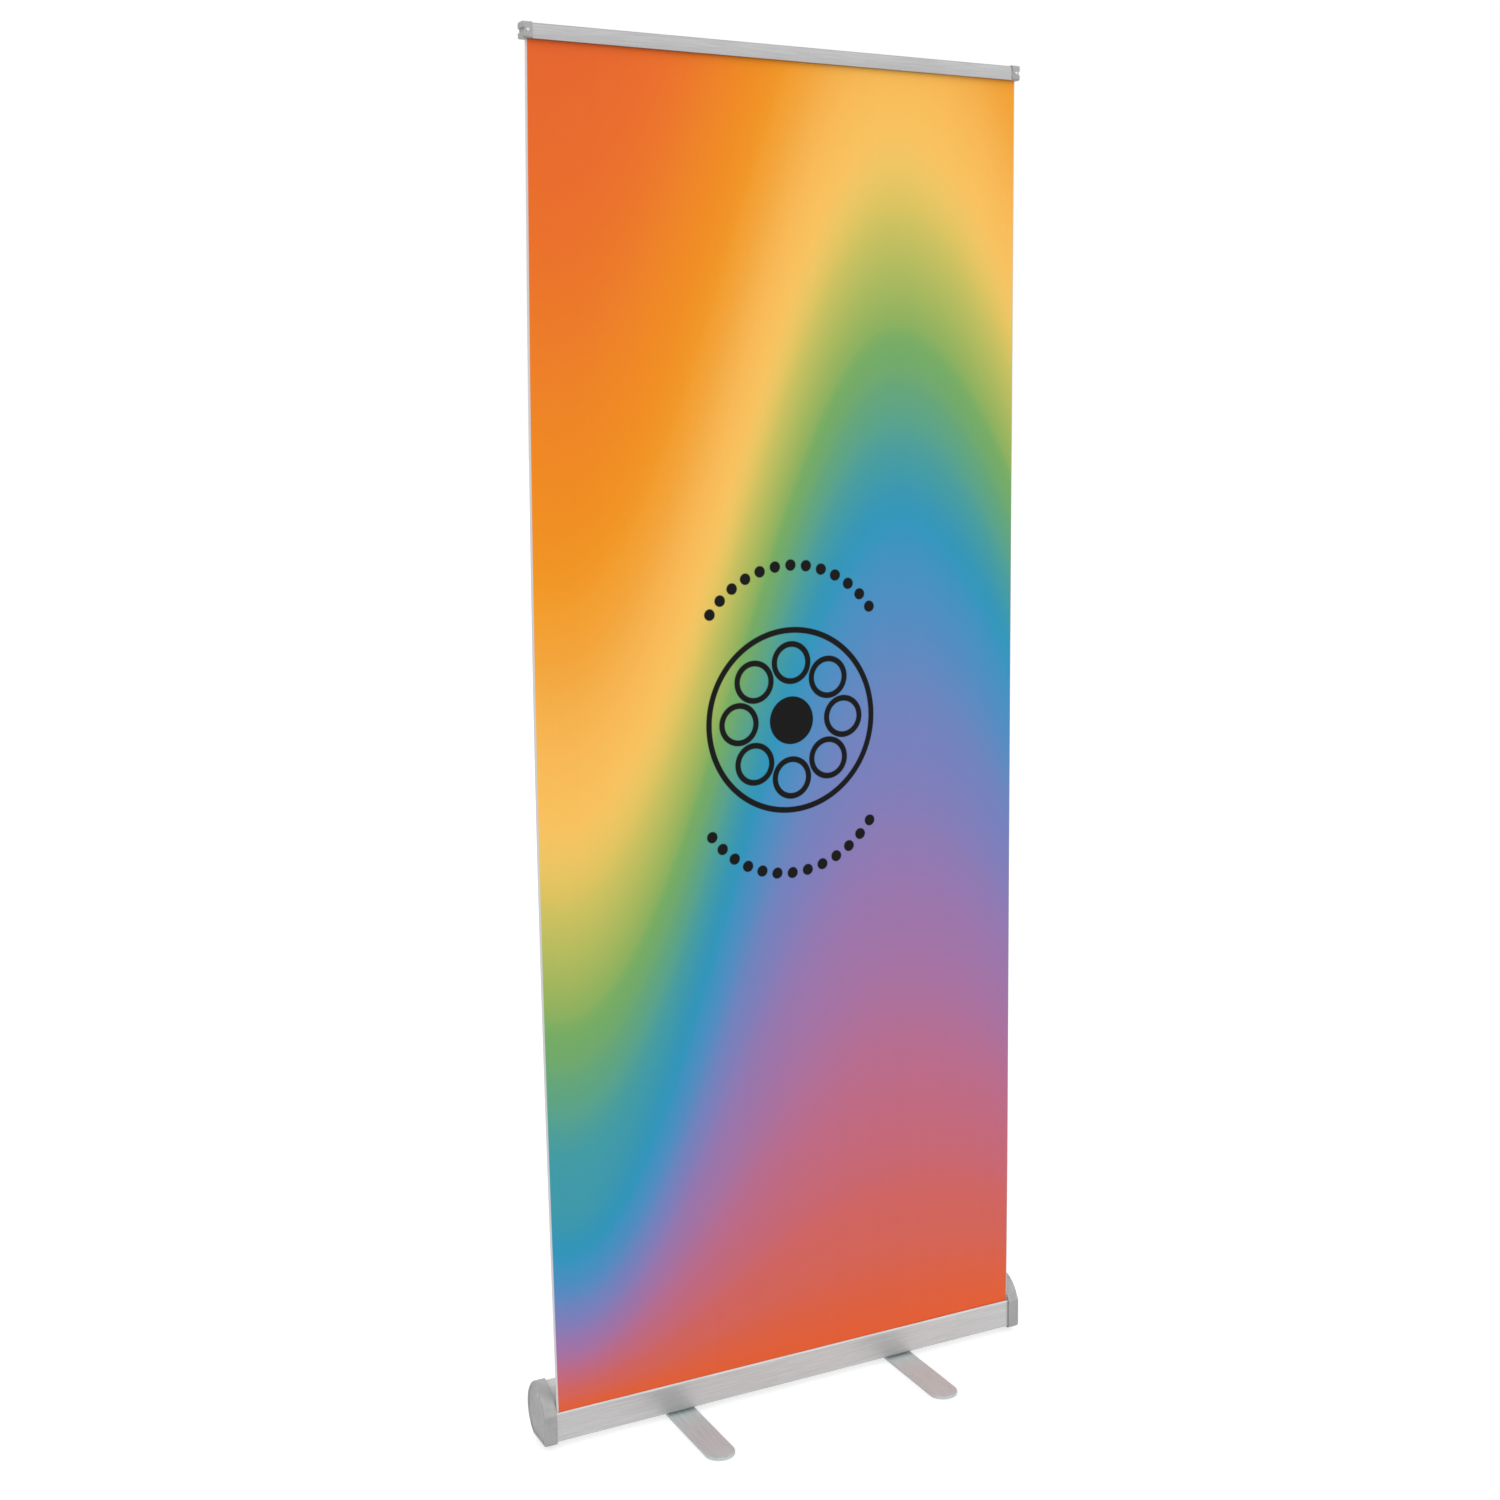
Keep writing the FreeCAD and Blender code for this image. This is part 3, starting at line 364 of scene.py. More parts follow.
@dataclass(frozen=True)
class Finish(ABC):
    """A surface finish, which makes one material."""

    title: str
    colour: Colour
    roughness: float

    def material(self) -> bpy.types.Material:
        """Returns the finish's material, and builds it the first time."""
        made = bpy.data.materials.get(self.title)
        if made is None:
            made = bpy.data.materials.new(self.title)
            made.use_nodes = True
            made.node_tree.nodes.clear()
            graph = Graph(made.node_tree)
            shader = graph.node("ShaderNodeBsdfPrincipled")
            output = graph.node("ShaderNodeOutputMaterial")
            graph.feed(output.inputs["Surface"], shader.outputs["BSDF"])
            self.wire(graph, shader.inputs)
            made.diffuse_color = (*self.colour, 1.0)
        return made

    def toned(self, share: float) -> Colour:
        """The finish's colour times a share, with no channel above 1."""
        return tuple(min(1.0, channel * share) for channel in self.colour)

    @abstractmethod
    def wire(self, graph: Graph, shader: Inputs) -> None:
        """Builds the finish up to the shader's sockets."""


@dataclass(frozen=True)
class HandledFinish(Finish):
    """A finish with the grain and dust of a thing in use, and edges lightened partly by wear and partly as
    painted sheen.
    """

    grain_scale: float = 2600.0
    edge_radius: float = 0.0004
    patchiness: float = 0.35
    dust: float = 0.25
    dust_colour: Colour = (0.62, 0.60, 0.57)
    smudge_rough: float = 0.05

    def marks(self, graph: Graph, place: Socket) -> tuple[Outputs, Outputs, Outputs]:
        """Returns what the grain, the edges' mask of wear and painted sheen, and the dust give."""
        grain = graph.effect(Speckle(), Place=place, Scale=self.grain_scale)
        edges = graph.effect(EdgeWearAndSheen(), Place=place, Radius=self.edge_radius, Patchiness=self.patchiness)
        dust = graph.effect(Dust(), Place=place, Amount=self.dust)
        return grain.outputs, edges.outputs, dust.outputs


@dataclass(frozen=True)
class DrawnMetal(HandledFinish):
    """Satin metal with lines along its length, brighter at its edges, partly as wear and partly as painted
    sheen.
    """

    run: Run = Run.ALONG_X
    line_scale: float = 900.0
    contrast: float = 0.10
    line_depth: float = 0.00001
    sheen_and_wear_colour: Colour = (0.72, 0.72, 0.72)
    metal: float = 1.0
    grain_share: float = 0.5
    tone_range: Pair = (0.3, 0.7)
    edge_share: float = 0.3
    dust_rough: float = 0.35
    dust_cover: float = 0.8

    def wire(self, graph: Graph, shader: Inputs) -> None:
        """Lines set the tone and relief, dust and smudges the gloss, and the edges are painted brighter, as
        wear and as sheen.
        """
        place = graph.place()
        stretched = graph.vector("MULTIPLY", place, self.run.value)
        lines = graph.effect(DrawnLines(), Place=stretched, Scale=self.line_scale).outputs
        grain, edges, dust = self.marks(graph, place)
        tone = graph.span(lines["Tone"], *self.tone_range)
        base = graph.blend(tone, self.toned(1 - self.contrast), self.toned(1 + self.contrast))
        # Painted sheen and wear: the edges are blended towards a light grey.
        base = graph.blend(graph.times(edges["Mask"], self.edge_share), base, self.sheen_and_wear_colour)
        graph.feed(shader["Base Color"], graph.blend(dust["Mask"], base, self.dust_colour))
        satin = graph.span(tone, 0.0, 1.0, self.roughness * 1.1, self.roughness * 0.9)
        smudged = graph.times(dust["Smudge"], self.smudge_rough)
        settled = graph.times(dust["Mask"], self.dust_rough)
        graph.feed(shader["Roughness"], graph.plus(satin, graph.plus(smudged, settled)))
        covered = graph.times(dust["Mask"], self.dust_cover)
        graph.feed(shader["Metallic"], graph.minus(self.metal, covered))
        relief = graph.plus(lines["Height"], graph.times(grain["Height"], self.grain_share))
        graph.feed(shader["Normal"], graph.bump(relief, self.line_depth, edges["Normal"]))


@dataclass(frozen=True)
class MouldedPlastic(HandledFinish):
    """Plastic with the fine grain of its mould, lighter and glossier at the edges, partly as wear and
    partly as painted sheen.
    """

    grain_scale: float = 1700.0
    grain_depth: float = 0.00004
    edge_radius: float = 0.0007
    sheen_and_wear_lift: float = 0.25
    metal: float = 0.0
    dust: float = 0.3
    patchiness: float = 0.2
    tone_range: Pair = (0.35, 0.65)
    tones: Pair = (0.94, 1.05)
    dust_colour: Colour = (0.60, 0.58, 0.55)
    edge_gloss: float = 0.12
    smudge_rough: float = 0.06

    def wire(self, graph: Graph, shader: Inputs) -> None:
        """Grain sets the relief, clouds the tone, and the edges turn glossier and lighter, the lighter tone
        partly wear and partly painted sheen.
        """
        place = graph.place()
        grain, edges, dust = self.marks(graph, place)
        dark, light = (self.toned(share) for share in self.tones)
        # Painted sheen and wear: the edges are lifted towards white.
        sheen_and_wear_tone = tuple(channel + (1.0 - channel) * self.sheen_and_wear_lift for channel in self.colour)
        base = graph.blend(graph.span(grain["Tone"], *self.tone_range), dark, light)
        base = graph.blend(edges["Mask"], base, sheen_and_wear_tone)
        graph.feed(shader["Base Color"], graph.blend(dust["Mask"], base, self.dust_colour))
        gloss = graph.minus(self.roughness, graph.times(edges["Mask"], self.edge_gloss))
        smudged = graph.times(dust["Smudge"], self.smudge_rough)
        graph.feed(shader["Roughness"], graph.plus(gloss, smudged))
        shader["Metallic"].default_value = self.metal
        relief = graph.bump(grain["Height"], self.grain_depth, edges["Normal"])
        graph.feed(shader["Normal"], relief)


@dataclass(frozen=True)
class PlatedSteel(Finish):
    """Plated steel of a screw, nut, washer or spring, with a patchy bloom."""

    bloom: Colour = (0.42, 0.41, 0.38)
    bloom_scale: float = 420.0
    bloom_rough: float = 0.2
    edge_radius: float = 0.00025
    sheen_and_wear_colour: Colour = (0.8, 0.8, 0.79)
    patchiness: float = 0.1
    grain_scale: float = 2400.0
    grain_depth: float = 0.00001

    def wire(self, graph: Graph, shader: Inputs) -> None:
        """Mixes the plating with its bloom, and roughens it there."""
        place = graph.place()
        edges = graph.effect(EdgeWearAndSheen(), Place=place, Radius=self.edge_radius, Patchiness=self.patchiness)
        patches = graph.span(graph.noise(place, self.bloom_scale, detail=5.0, roughness=0.6), 0.4, 0.75)
        base = graph.blend(patches, self.colour, self.bloom)
        # Painted sheen and wear: the edges are blended towards a light steel colour.
        graph.feed(shader["Base Color"], graph.blend(edges.outputs["Mask"], base, self.sheen_and_wear_colour))
        rough = graph.span(patches, 0.0, 1.0, self.roughness, self.roughness + self.bloom_rough)
        graph.feed(shader["Roughness"], rough)
        shader["Metallic"].default_value = 1.0
        relief = graph.noise(place, self.grain_scale, detail=3.0)
        graph.feed(shader["Normal"], graph.bump(relief, self.grain_depth, edges.outputs["Normal"]))


@dataclass(frozen=True)
class Rubber(Finish):
    """Matt black rubber that has picked up grit from the floor."""

    grit: Colour = (0.16, 0.15, 0.14)
    grit_scale: float = 700.0
    grit_rough: float = 0.98
    grain_scale: float = 1500.0
    grain_depth: float = 0.00005
    specular: float = 0.3

    def wire(self, graph: Graph, shader: Inputs) -> None:
        """Speckles the rubber with grit and pits."""
        place = graph.place()
        grain = graph.effect(Speckle(), Place=place, Scale=self.grain_scale)
        specks = graph.span(graph.noise(place, self.grit_scale, detail=4.0), 0.58, 0.72)
        graph.feed(shader["Base Color"], graph.blend(specks, self.colour, self.grit))
        graph.feed(shader["Roughness"], graph.span(specks, 0.0, 1.0, self.roughness, self.grit_rough))
        shader["Specular IOR Level"].default_value = self.specular
        graph.feed(shader["Normal"], graph.bump(grain.outputs["Height"], self.grain_depth))


@dataclass(frozen=True)
class PlainFilm(Finish):
    """Unprinted side of the film: a fine matt coat with faint flow lines along its length."""

    flow_scale: float = 60.0
    tones: Pair = (0.98, 1.015)
    grain_scale: float = 2200.0
    grain_depth: float = 0.00001
    smudge_rough: float = 0.05

    def wire(self, graph: Graph, shader: Inputs) -> None:
        """Cloudy tone with long flow lines, and a fine tooth."""
        place = graph.place()
        stretched = graph.vector("MULTIPLY", place, Run.ALONG_Z.value)
        flow = graph.effect(DrawnLines(), Place=stretched, Scale=self.flow_scale)
        grain = graph.effect(Speckle(), Place=place, Scale=self.grain_scale)
        dust = graph.effect(Dust(), Place=place, Amount=0.1)
        dark, light = (self.toned(share) for share in self.tones)
        cloudy = graph.span(flow.outputs["Tone"], 0.35, 0.65)
        graph.feed(shader["Base Color"], graph.blend(cloudy, dark, light))
        smudged = graph.times(dust.outputs["Smudge"], self.smudge_rough)
        graph.feed(shader["Roughness"], graph.plus(self.roughness, smudged))
        graph.feed(shader["Normal"], graph.bump(grain.outputs["Height"], self.grain_depth))


class Ink(Enum):
    """Inks of the printed wave, each as the level where it stands and its colour.

    The level is 0 at the foot of the print's colours and rises up the wave.
    """

    VERMILION = (0.00, shade(234, 98, 52))
    CORAL = (0.05, shade(221, 102, 84))
    ROSE = (0.11, shade(208, 105, 113))
    MAUVE = (0.22, shade(179, 114, 157))
    VIOLET = (0.34, shade(143, 125, 185))
    PERIWINKLE = (0.44, shade(105, 137, 196))
    SKY = (0.53, shade(60, 150, 196))
    LAGOON = (0.575, shade(57, 155, 180))
    TEAL = (0.62, shade(84, 164, 149))
    LEAF = (0.66, shade(109, 171, 117))
    MOSS = (0.70, shade(140, 180, 97))
    STRAW = (0.78, shade(213, 198, 97))
    MAIZE = (0.84, shade(254, 199, 97))
    APRICOT = (0.94, shade(251, 177, 70))
    AMBER = (1.02, shade(248, 154, 33))
    ORANGE = (1.20, shade(243, 125, 35))
    FLAME = (1.40, shade(237, 103, 42))

    @property
    def level(self) -> float:
        """Where the ink stands on the wave."""
        return self.value[0]

    @property
    def colour(self) -> Colour:
        """The ink's linear colour."""
        return self.value[1]


@dataclass(frozen=True)
class PrintedWave(Finish):
    """Printed side of the film: one wave of colour, and a plain black rosette between two dotted arcs."""

    width: float = 0.8
    height: float = 2.0
    margin_left: float = 0.001
    margin_right: float = -0.0018
    wave_middle: float = -0.145
    wave_swing: float = 0.255
    wave_start: float = 0.035
    wave_half: float = 0.70
    slow_from: float = 0.735
    slow_rate: float = 0.82
    crease: float = 0.10
    emblem_across: float = 0.503
    emblem_up: float = 0.510
    hub: float = 0.037
    rim: float = 0.139
    petals: int = 8
    petal_at: float = 0.089
    petal_r: float = 0.0285
    stroke: float = 0.0046
    arc_r: float = 0.168
    arc_up: float = 0.070
    arc_reach: float = math.radians(59.0)
    dot_r: float = 0.0088
    dot_step: float = math.radians(9.0)
    soft: float = 0.0006
    margin_soft: float = 0.001
    flow_scale: float = 40.0
    flow_tone: float = 0.985
    grain_scale: float = 2400.0
    grain_depth: float = 0.000008
    smudge_rough: float = 0.06
    specular: float = 0.12
    black: Colour = (0.002, 0.002, 0.002)

    def wave(self, graph: Graph, across: Socket, rise: Socket) -> Socket:
        """Builds the wave of colour.

        Args:
            graph: The material's graph.
            across: Place across the print, 0 at its left edge and 1 at its right.
            rise: Place up the print, 0 at its foot and 1 at its top.

        Returns:
            The ink's colour.
        """
        early = graph.math("MINIMUM", across, self.slow_from)
        late = graph.math("MAXIMUM", graph.minus(across, self.slow_from), 0.0)
        eased = graph.plus(early, graph.times(late, self.slow_rate))
        phase = graph.times(graph.minus(eased, self.wave_start), math.pi / self.wave_half)
        swing = graph.times(graph.math("COSINE", phase), -self.wave_swing)
        shift = graph.plus(swing, self.wave_middle)
        upper = graph.minus(rise, shift)
        room = graph.plus(graph.times(shift, 2.0), 1.0)
        lower = graph.over(rise, room)
        crossing = graph.plus(shift, 0.5)
        start = graph.minus(crossing, self.crease)
        end = graph.plus(crossing, self.crease)
        share = graph.span(rise, start, end)
        gap = graph.minus(upper, lower)
        height = graph.plus(lower, graph.times(share, gap))
        return self.inks(graph, height)

    def inks(self, graph: Graph, height: Socket) -> Socket:
        """Lays the inks along the wave's height."""
        top = Ink.FLAME.level
        ramp = graph.node("ShaderNodeValToRGB")
        ramp.color_ramp.interpolation = "CARDINAL"
        stops = ramp.color_ramp.elements
        first, last = Ink.VERMILION, Ink.FLAME
        stops[0].position, stops[0].color = 0.0, (*first.colour, 1.0)
        stops[1].position, stops[1].color = 1.0, (*last.colour, 1.0)
        for ink in list(Ink)[1:-1]:
            stops.new(ink.level / top).color = (*ink.colour, 1.0)
        graph.feed(ramp.inputs["Fac"], graph.over(height, top))
        return ramp.outputs["Color"]

    def emblem(self, graph: Graph, across: Socket, up: Socket) -> Socket:
        """Builds the mask of the rosette and its arcs.

        Args:
            graph: The material's graph.
            across: Place across the print, from 0 to 1.
            up: Place up the print, from 0 to 1.

        Returns:
            1 on the emblem's black and 0 elsewhere.
        """
        side = graph.times(graph.minus(across, self.emblem_across), self.width)
        rise = graph.times(graph.minus(up, self.emblem_up), self.height)

        def radius(centre: Value) -> Socket:
            """Distance from a centre at a height on the emblem's middle line."""
            return graph.hypot(side, graph.minus(rise, centre))

        def within(value: Socket, limit: float) -> Socket:
            """1 where the value is below the limit, with a soft edge."""
            return graph.span(value, limit - self.soft, limit + self.soft, 1.0, 0.0, smooth=False)

        def line(value: Socket, middle: Value, half: float) -> Socket:
            """1 within half a line's width of its middle."""
            return within(graph.math("ABSOLUTE", graph.minus(value, middle)), half)

        out = radius(0.0)
        turn = graph.math("ARCTAN2", rise, side)
        parts = [within(out, self.hub), line(out, self.rim, self.stroke)]
        lean = graph.minus(turn, graph.nearest(turn, 2 * math.pi / self.petals))
        along = graph.minus(graph.times(out, graph.math("COSINE", lean)), self.petal_at)
        beside = graph.times(out, graph.math("SINE", lean))
        parts.append(line(graph.hypot(along, beside), self.petal_r, self.stroke))
        for way in (1.0, -1.0):
            height = graph.minus(graph.times(rise, way), self.arc_up)
            angle = graph.math("ARCTAN2", side, height)
            off = graph.times(graph.minus(angle, graph.nearest(angle, self.dot_step)), self.arc_r)
            ring = graph.minus(radius(self.arc_up * way), self.arc_r)
            dots = within(graph.hypot(off, ring), self.dot_r)
            parts.append(graph.times(dots, within(graph.math("ABSOLUTE", angle), self.arc_reach)))
        mask = parts[0]
        for part in parts[1:]:
            mask = graph.math("MAXIMUM", mask, part)
        return mask

    def wire(self, graph: Graph, shader: Inputs) -> None:
        """Puts the emblem over the wave inside bare margins, under a fine satin laminate."""
        place = graph.place()
        layout = graph.node("ShaderNodeUVMap", uv_map=FILM_MAP)
        parts = graph.node("ShaderNodeSeparateXYZ")
        graph.feed(parts.inputs[0], layout.outputs["UV"])
        across, rise = parts.outputs["X"], parts.outputs["Y"]
        colour = graph.blend(self.emblem(graph, across, rise), self.wave(graph, across, rise), self.black)
        left = graph.span(across, self.margin_left, self.margin_left + self.margin_soft, smooth=False)
        end = 1.0 - self.margin_right
        right = graph.span(across, end - self.margin_soft, end, 1.0, 0.0, smooth=False)
        colour = graph.blend(graph.times(left, right), self.colour, colour)
        grain = graph.effect(Speckle(), Place=place, Scale=self.grain_scale)
        dust = graph.effect(Dust(), Place=place, Amount=0.0)
        stretched = graph.vector("MULTIPLY", place, Run.ALONG_Z.value)
        flow = graph.effect(DrawnLines(), Place=stretched, Scale=self.flow_scale)
        cloudy = graph.span(flow.outputs["Tone"], 0.3, 0.7, self.flow_tone, 1.0)
        toned = graph.node("ShaderNodeVectorMath", operation="SCALE")
        graph.feed(toned.inputs[0], colour)
        graph.feed(toned.inputs["Scale"], cloudy)
        graph.feed(shader["Base Color"], toned.outputs["Vector"])
        smudged = graph.times(dust.outputs["Smudge"], self.smudge_rough)
        graph.feed(shader["Roughness"], graph.plus(self.roughness, smudged))
        shader["Specular IOR Level"].default_value = self.specular
        graph.feed(shader["Normal"], graph.bump(grain.outputs["Height"], self.grain_depth))


FILM_MAP: str = "print"

HOUSING_SKIN = DrawnMetal("base extrusion", (0.50, 0.505, 0.505), 0.44)
RAIL_SKIN = DrawnMetal("rail extrusion", (0.385, 0.385, 0.39), 0.42, line_scale=1100.0)
FOOT_SKIN = DrawnMetal(
    "foot bar", (0.55, 0.62, 0.62), 0.62, run=Run.ALONG_Y, line_scale=700.0, contrast=0.12, metal=0.25
)
TUBE_SKIN = DrawnMetal("pole tube", (0.58, 0.58, 0.59), 0.32, run=Run.ALONG_Z, line_scale=1200.0)
ROLLER_SKIN = DrawnMetal("roller tube", (0.55, 0.55, 0.55), 0.40, line_scale=1000.0)
CAP_PLASTIC = MouldedPlastic("silver cap", (0.36, 0.36, 0.36), 0.46, metal=0.3)
RAIL_CAP_PLASTIC = MouldedPlastic("rail cap", (0.36, 0.36, 0.36), 0.46, metal=0.3)
FITTING_PLASTIC = MouldedPlastic("dark fitting", (0.030, 0.030, 0.033), 0.5, sheen_and_wear_lift=0.06)
BUSH_PLASTIC = MouldedPlastic("natural bush", (0.70, 0.69, 0.64), 0.45)
ZINC = PlatedSteel("zinc plate", (0.58, 0.58, 0.60), 0.30)
OILED_SPRING = PlatedSteel("oiled spring", (0.16, 0.155, 0.15), 0.28, bloom=(0.10, 0.08, 0.06))
PAD_RUBBER = Rubber("pad rubber", (0.022, 0.022, 0.023), 0.85)
FILM_BACK = PlainFilm("film back", (0.60, 0.60, 0.61), 0.62)
LEADER = PlainFilm("leader film", (0.62, 0.62, 0.60), 0.55)
PRINT = PrintedWave("printed wave", (0.66, 0.66, 0.67), 0.50)


# Meshes


class Builder:
    """Collects the vertices and faces of one mesh."""

    def __init__(self) -> None:
        """Starts empty."""
        self.points: list[Vector] = []
        self.faces: list[tuple[int, ...]] = []
        self.finishes: list[int] = []

    def ring(self, points: Iterable[Vector]) -> list[int]:
        """Adds a row of vertices and returns their indices."""
        first = len(self.points)
        self.points.extend(points)
        return list(range(first, len(self.points)))

    def skin(self, rows: list[list[int]], closed: bool = False, finish: int = 0) -> None:
        """Joins neighbouring rows with quads.

        Args:
            rows: Rows of indices, all of one length.
            closed: Whether each row runs round and meets its own start.
            finish: Index of the material.
        """
        for low, high in zip(rows, rows[1:]):
            last = len(low) if closed else len(low) - 1
            for n in range(last):
                after = (n + 1) % len(low)
                self.face((low[n], low[after], high[after], high[n]), finish)

    def face(self, corners: tuple[int, ...], finish: int = 0) -> None:
        """Adds one face."""
        self.faces.append(corners)
        self.finishes.append(finish)

    def piece(self, name: str, finishes: Iterable[Finish], smooth_angle: float = math.radians(35)) -> Piece:
        """Makes the object.

        Args:
            name: The piece's name.
            finishes: Its finishes, in the order of their indices.
            smooth_angle: Edges that turn less than this are shaded smooth.

        Returns:
            The object, linked to the scene.
        """
        mesh = bpy.data.meshes.new(name)
        mesh.from_pydata([tuple(point) for point in self.points], [], self.faces)
        for finish in finishes:
            mesh.materials.append(finish.material())
        for polygon, index in zip(mesh.polygons, self.finishes):
            polygon.material_index = index
        made = bmesh.new()
        made.from_mesh(mesh)
        bmesh.ops.recalc_face_normals(made, faces=made.faces)
        for face in made.faces:
            face.smooth = True
        for edge in made.edges:
            edge.smooth = len(edge.link_faces) == 2 and edge.calc_face_angle(0.0) < smooth_angle
        made.to_mesh(mesh)
        made.free()
        piece = bpy.data.objects.new(name, mesh)
        bpy.context.scene.collection.objects.link(piece)
        LOG.info("%s: %d faces", name, len(mesh.polygons))
        return piece


def steps(start: float, end: float, count: int) -> list[float]:
    """Evenly spaced values from start to end, both included."""
    return [start + (end - start) * n / count for n in range(count + 1)]


# Film


@dataclass
class BannerFilm:
    """The printed film: a panel that comes down with the rail, and a stretch that winds up below it."""

    thickness: float = 0.00025
    print_height: float = 2.0
    columns: int = 56
    row_step: float = 0.02
    spare: float = 0.105
    spare_gap: float = 0.0004
    spare_lean: float = 0.019
    spare_inset: float = 0.0015
    tuck: float = 0.0028
    bare_edge: float = 0.002
    curl_left: float = 0.028
    curl_right: float = 0.0015
    flat_half: float = 0.12
    ripple: float = 0.0005
    ripples: int = 5
    ripple_turn: float = 2.0
    slot_slack: float = 0.0026
    slack_height: float = 0.35

    def __post_init__(self) -> None:
        """Takes the film's place from the frame."""
        low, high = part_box("banner_lower")
        self.half = high.x
        self.y = (low.y + high.y) / 2
        self.entry = low.z
        self.split = high.z
        self.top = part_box("banner_upper")[1].z
        self.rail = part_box("rail_back")[0].z
        self.tab_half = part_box("rail_clamp_cover")[1].x
        self.foot = self.rail - self.print_height
        self.edge = self.half + self.bare_edge

    def back_of(self, x: float, z: float) -> float:
        """How far the film lies behind its flat plane, as it curls towards its edges.

        Args:
            x: Place across.
            z: Height.

        Returns:
            Distance towards +Y.
        """
        share = min(1.0, max(0.0, (z - self.foot) / self.print_height))
        bow = math.sin(math.pi * share)
        edge = max(0.0, (abs(x) - self.flat_half) / (self.half - self.flat_half)) ** 2
        curl = (self.curl_left if x < 0 else self.curl_right) * edge
        across = (x + self.half) / (2 * self.half)
        wave = self.ripple * math.sin(self.ripples * math.pi * across + self.ripple_turn * share)
        inside = min(1.0, max(0.0, (z - self.entry) / (self.foot - self.entry)))
        over = max(0.0, 1.0 - max(0.0, z - self.foot) / self.slack_height)
        slack = self.slot_slack * max(0.0, x / self.half) * inside * over ** 2
        return bow * (curl + wave) + slack

    def panel(
        self,
        name: str,
        levels: list[float],
        half_at: Callable[[float], float],
        lean: Callable[[float, float], float] = lambda x, z: 0.0,
    ) -> Piece:
        """Builds one closed, thin panel with the print on its front.

        Args:
            name: The piece's name.
            levels: Heights of its rows.
            half_at: Half of its width at a height.
            lean: Further distance behind the film's surface at a place across and a height.

        Returns:
            The piece.
        """
        build = Builder()
        front: list[list[int]] = []
        back: list[list[int]] = []
        for z in levels:
            across = steps(-half_at(z), half_at(z), self.columns)
            depth = [self.y + self.back_of(x, z) + lean(x, z) for x in across]
            for rows, side in ((front, -0.5), (back, 0.5)):
                out = side * self.thickness
                rows.append(build.ring(Vector((x, y + out, z)) for x, y in zip(across, depth)))
        build.skin(front)
        build.skin([list(reversed(row)) for row in back], finish=1)
        build.skin([back[0], front[0]])
        build.skin([front[-1], back[-1]], finish=1)
        build.skin([[rows[n][0] for n in range(len(levels))] for rows in (front, back)], finish=1)
        build.skin([[rows[n][-1] for n in range(len(levels))] for rows in (back, front)], finish=1)
        piece = build.piece(name, (PRINT, FILM_BACK))
        self.lay_out(piece)
        return piece

    def lay_out(self, piece: Piece) -> None:
        """Gives a panel its map of the print: 0 to 1 across, and 0 to 1 from its foot up."""
        mesh = piece.data
        layer = mesh.uv_layers.new(name=FILM_MAP)
        for loop in mesh.loops:
            point = mesh.vertices[loop.vertex_index].co
            across = (point.x + self.half) / (2 * self.half)
            layer.data[loop.index].uv = (across, (point.z - self.foot) / self.print_height)

    def levels(self, low: float, high: float) -> list[float]:
        """Heights of evenly spaced rows."""
        return steps(low, high, max(1, round((high - low) / self.row_step)))

    def build_upper(self) -> None:
        """Builds the panel under the rail, with the narrower tab that the rail clamps."""
        step = 0.0001
        tab = [self.rail + step, self.top]
        levels = self.levels(self.split, self.rail) + tab
        upper = self.panel("film_upper", levels, lambda z: self.edge if z <= self.rail else self.tab_half)
        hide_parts("banner_upper")
        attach(upper, "top_rail")
        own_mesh(upper)

    def build_lower(self) -> None:
        """Builds the stretch from inside the slot, with spare film up behind the upper panel."""
        high = self.split + self.spare
        near = 0.0002
        levels = self.levels(self.entry, self.split) + self.levels(self.split + near, high)

        def lean(x: float, z: float) -> float:
            """The spare film stands behind the upper panel, and further where that one curls."""
            if z <= self.split:
                return 0.0
            return self.spare_gap + self.spare_lean * (z - self.split) * max(0.0, -x / self.half) ** 2

        def half_at(z: float) -> float:
            """The spare film is a little narrower."""
            return self.edge if z <= self.split else self.edge - self.spare_inset

        lower = self.panel("film_lower", levels, half_at, lean)
        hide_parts("banner_lower")
        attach(lower, "base")
        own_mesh(lower)

    def build(self) -> None:
        """Builds both panels."""
        self.build_upper()
        self.build_lower()


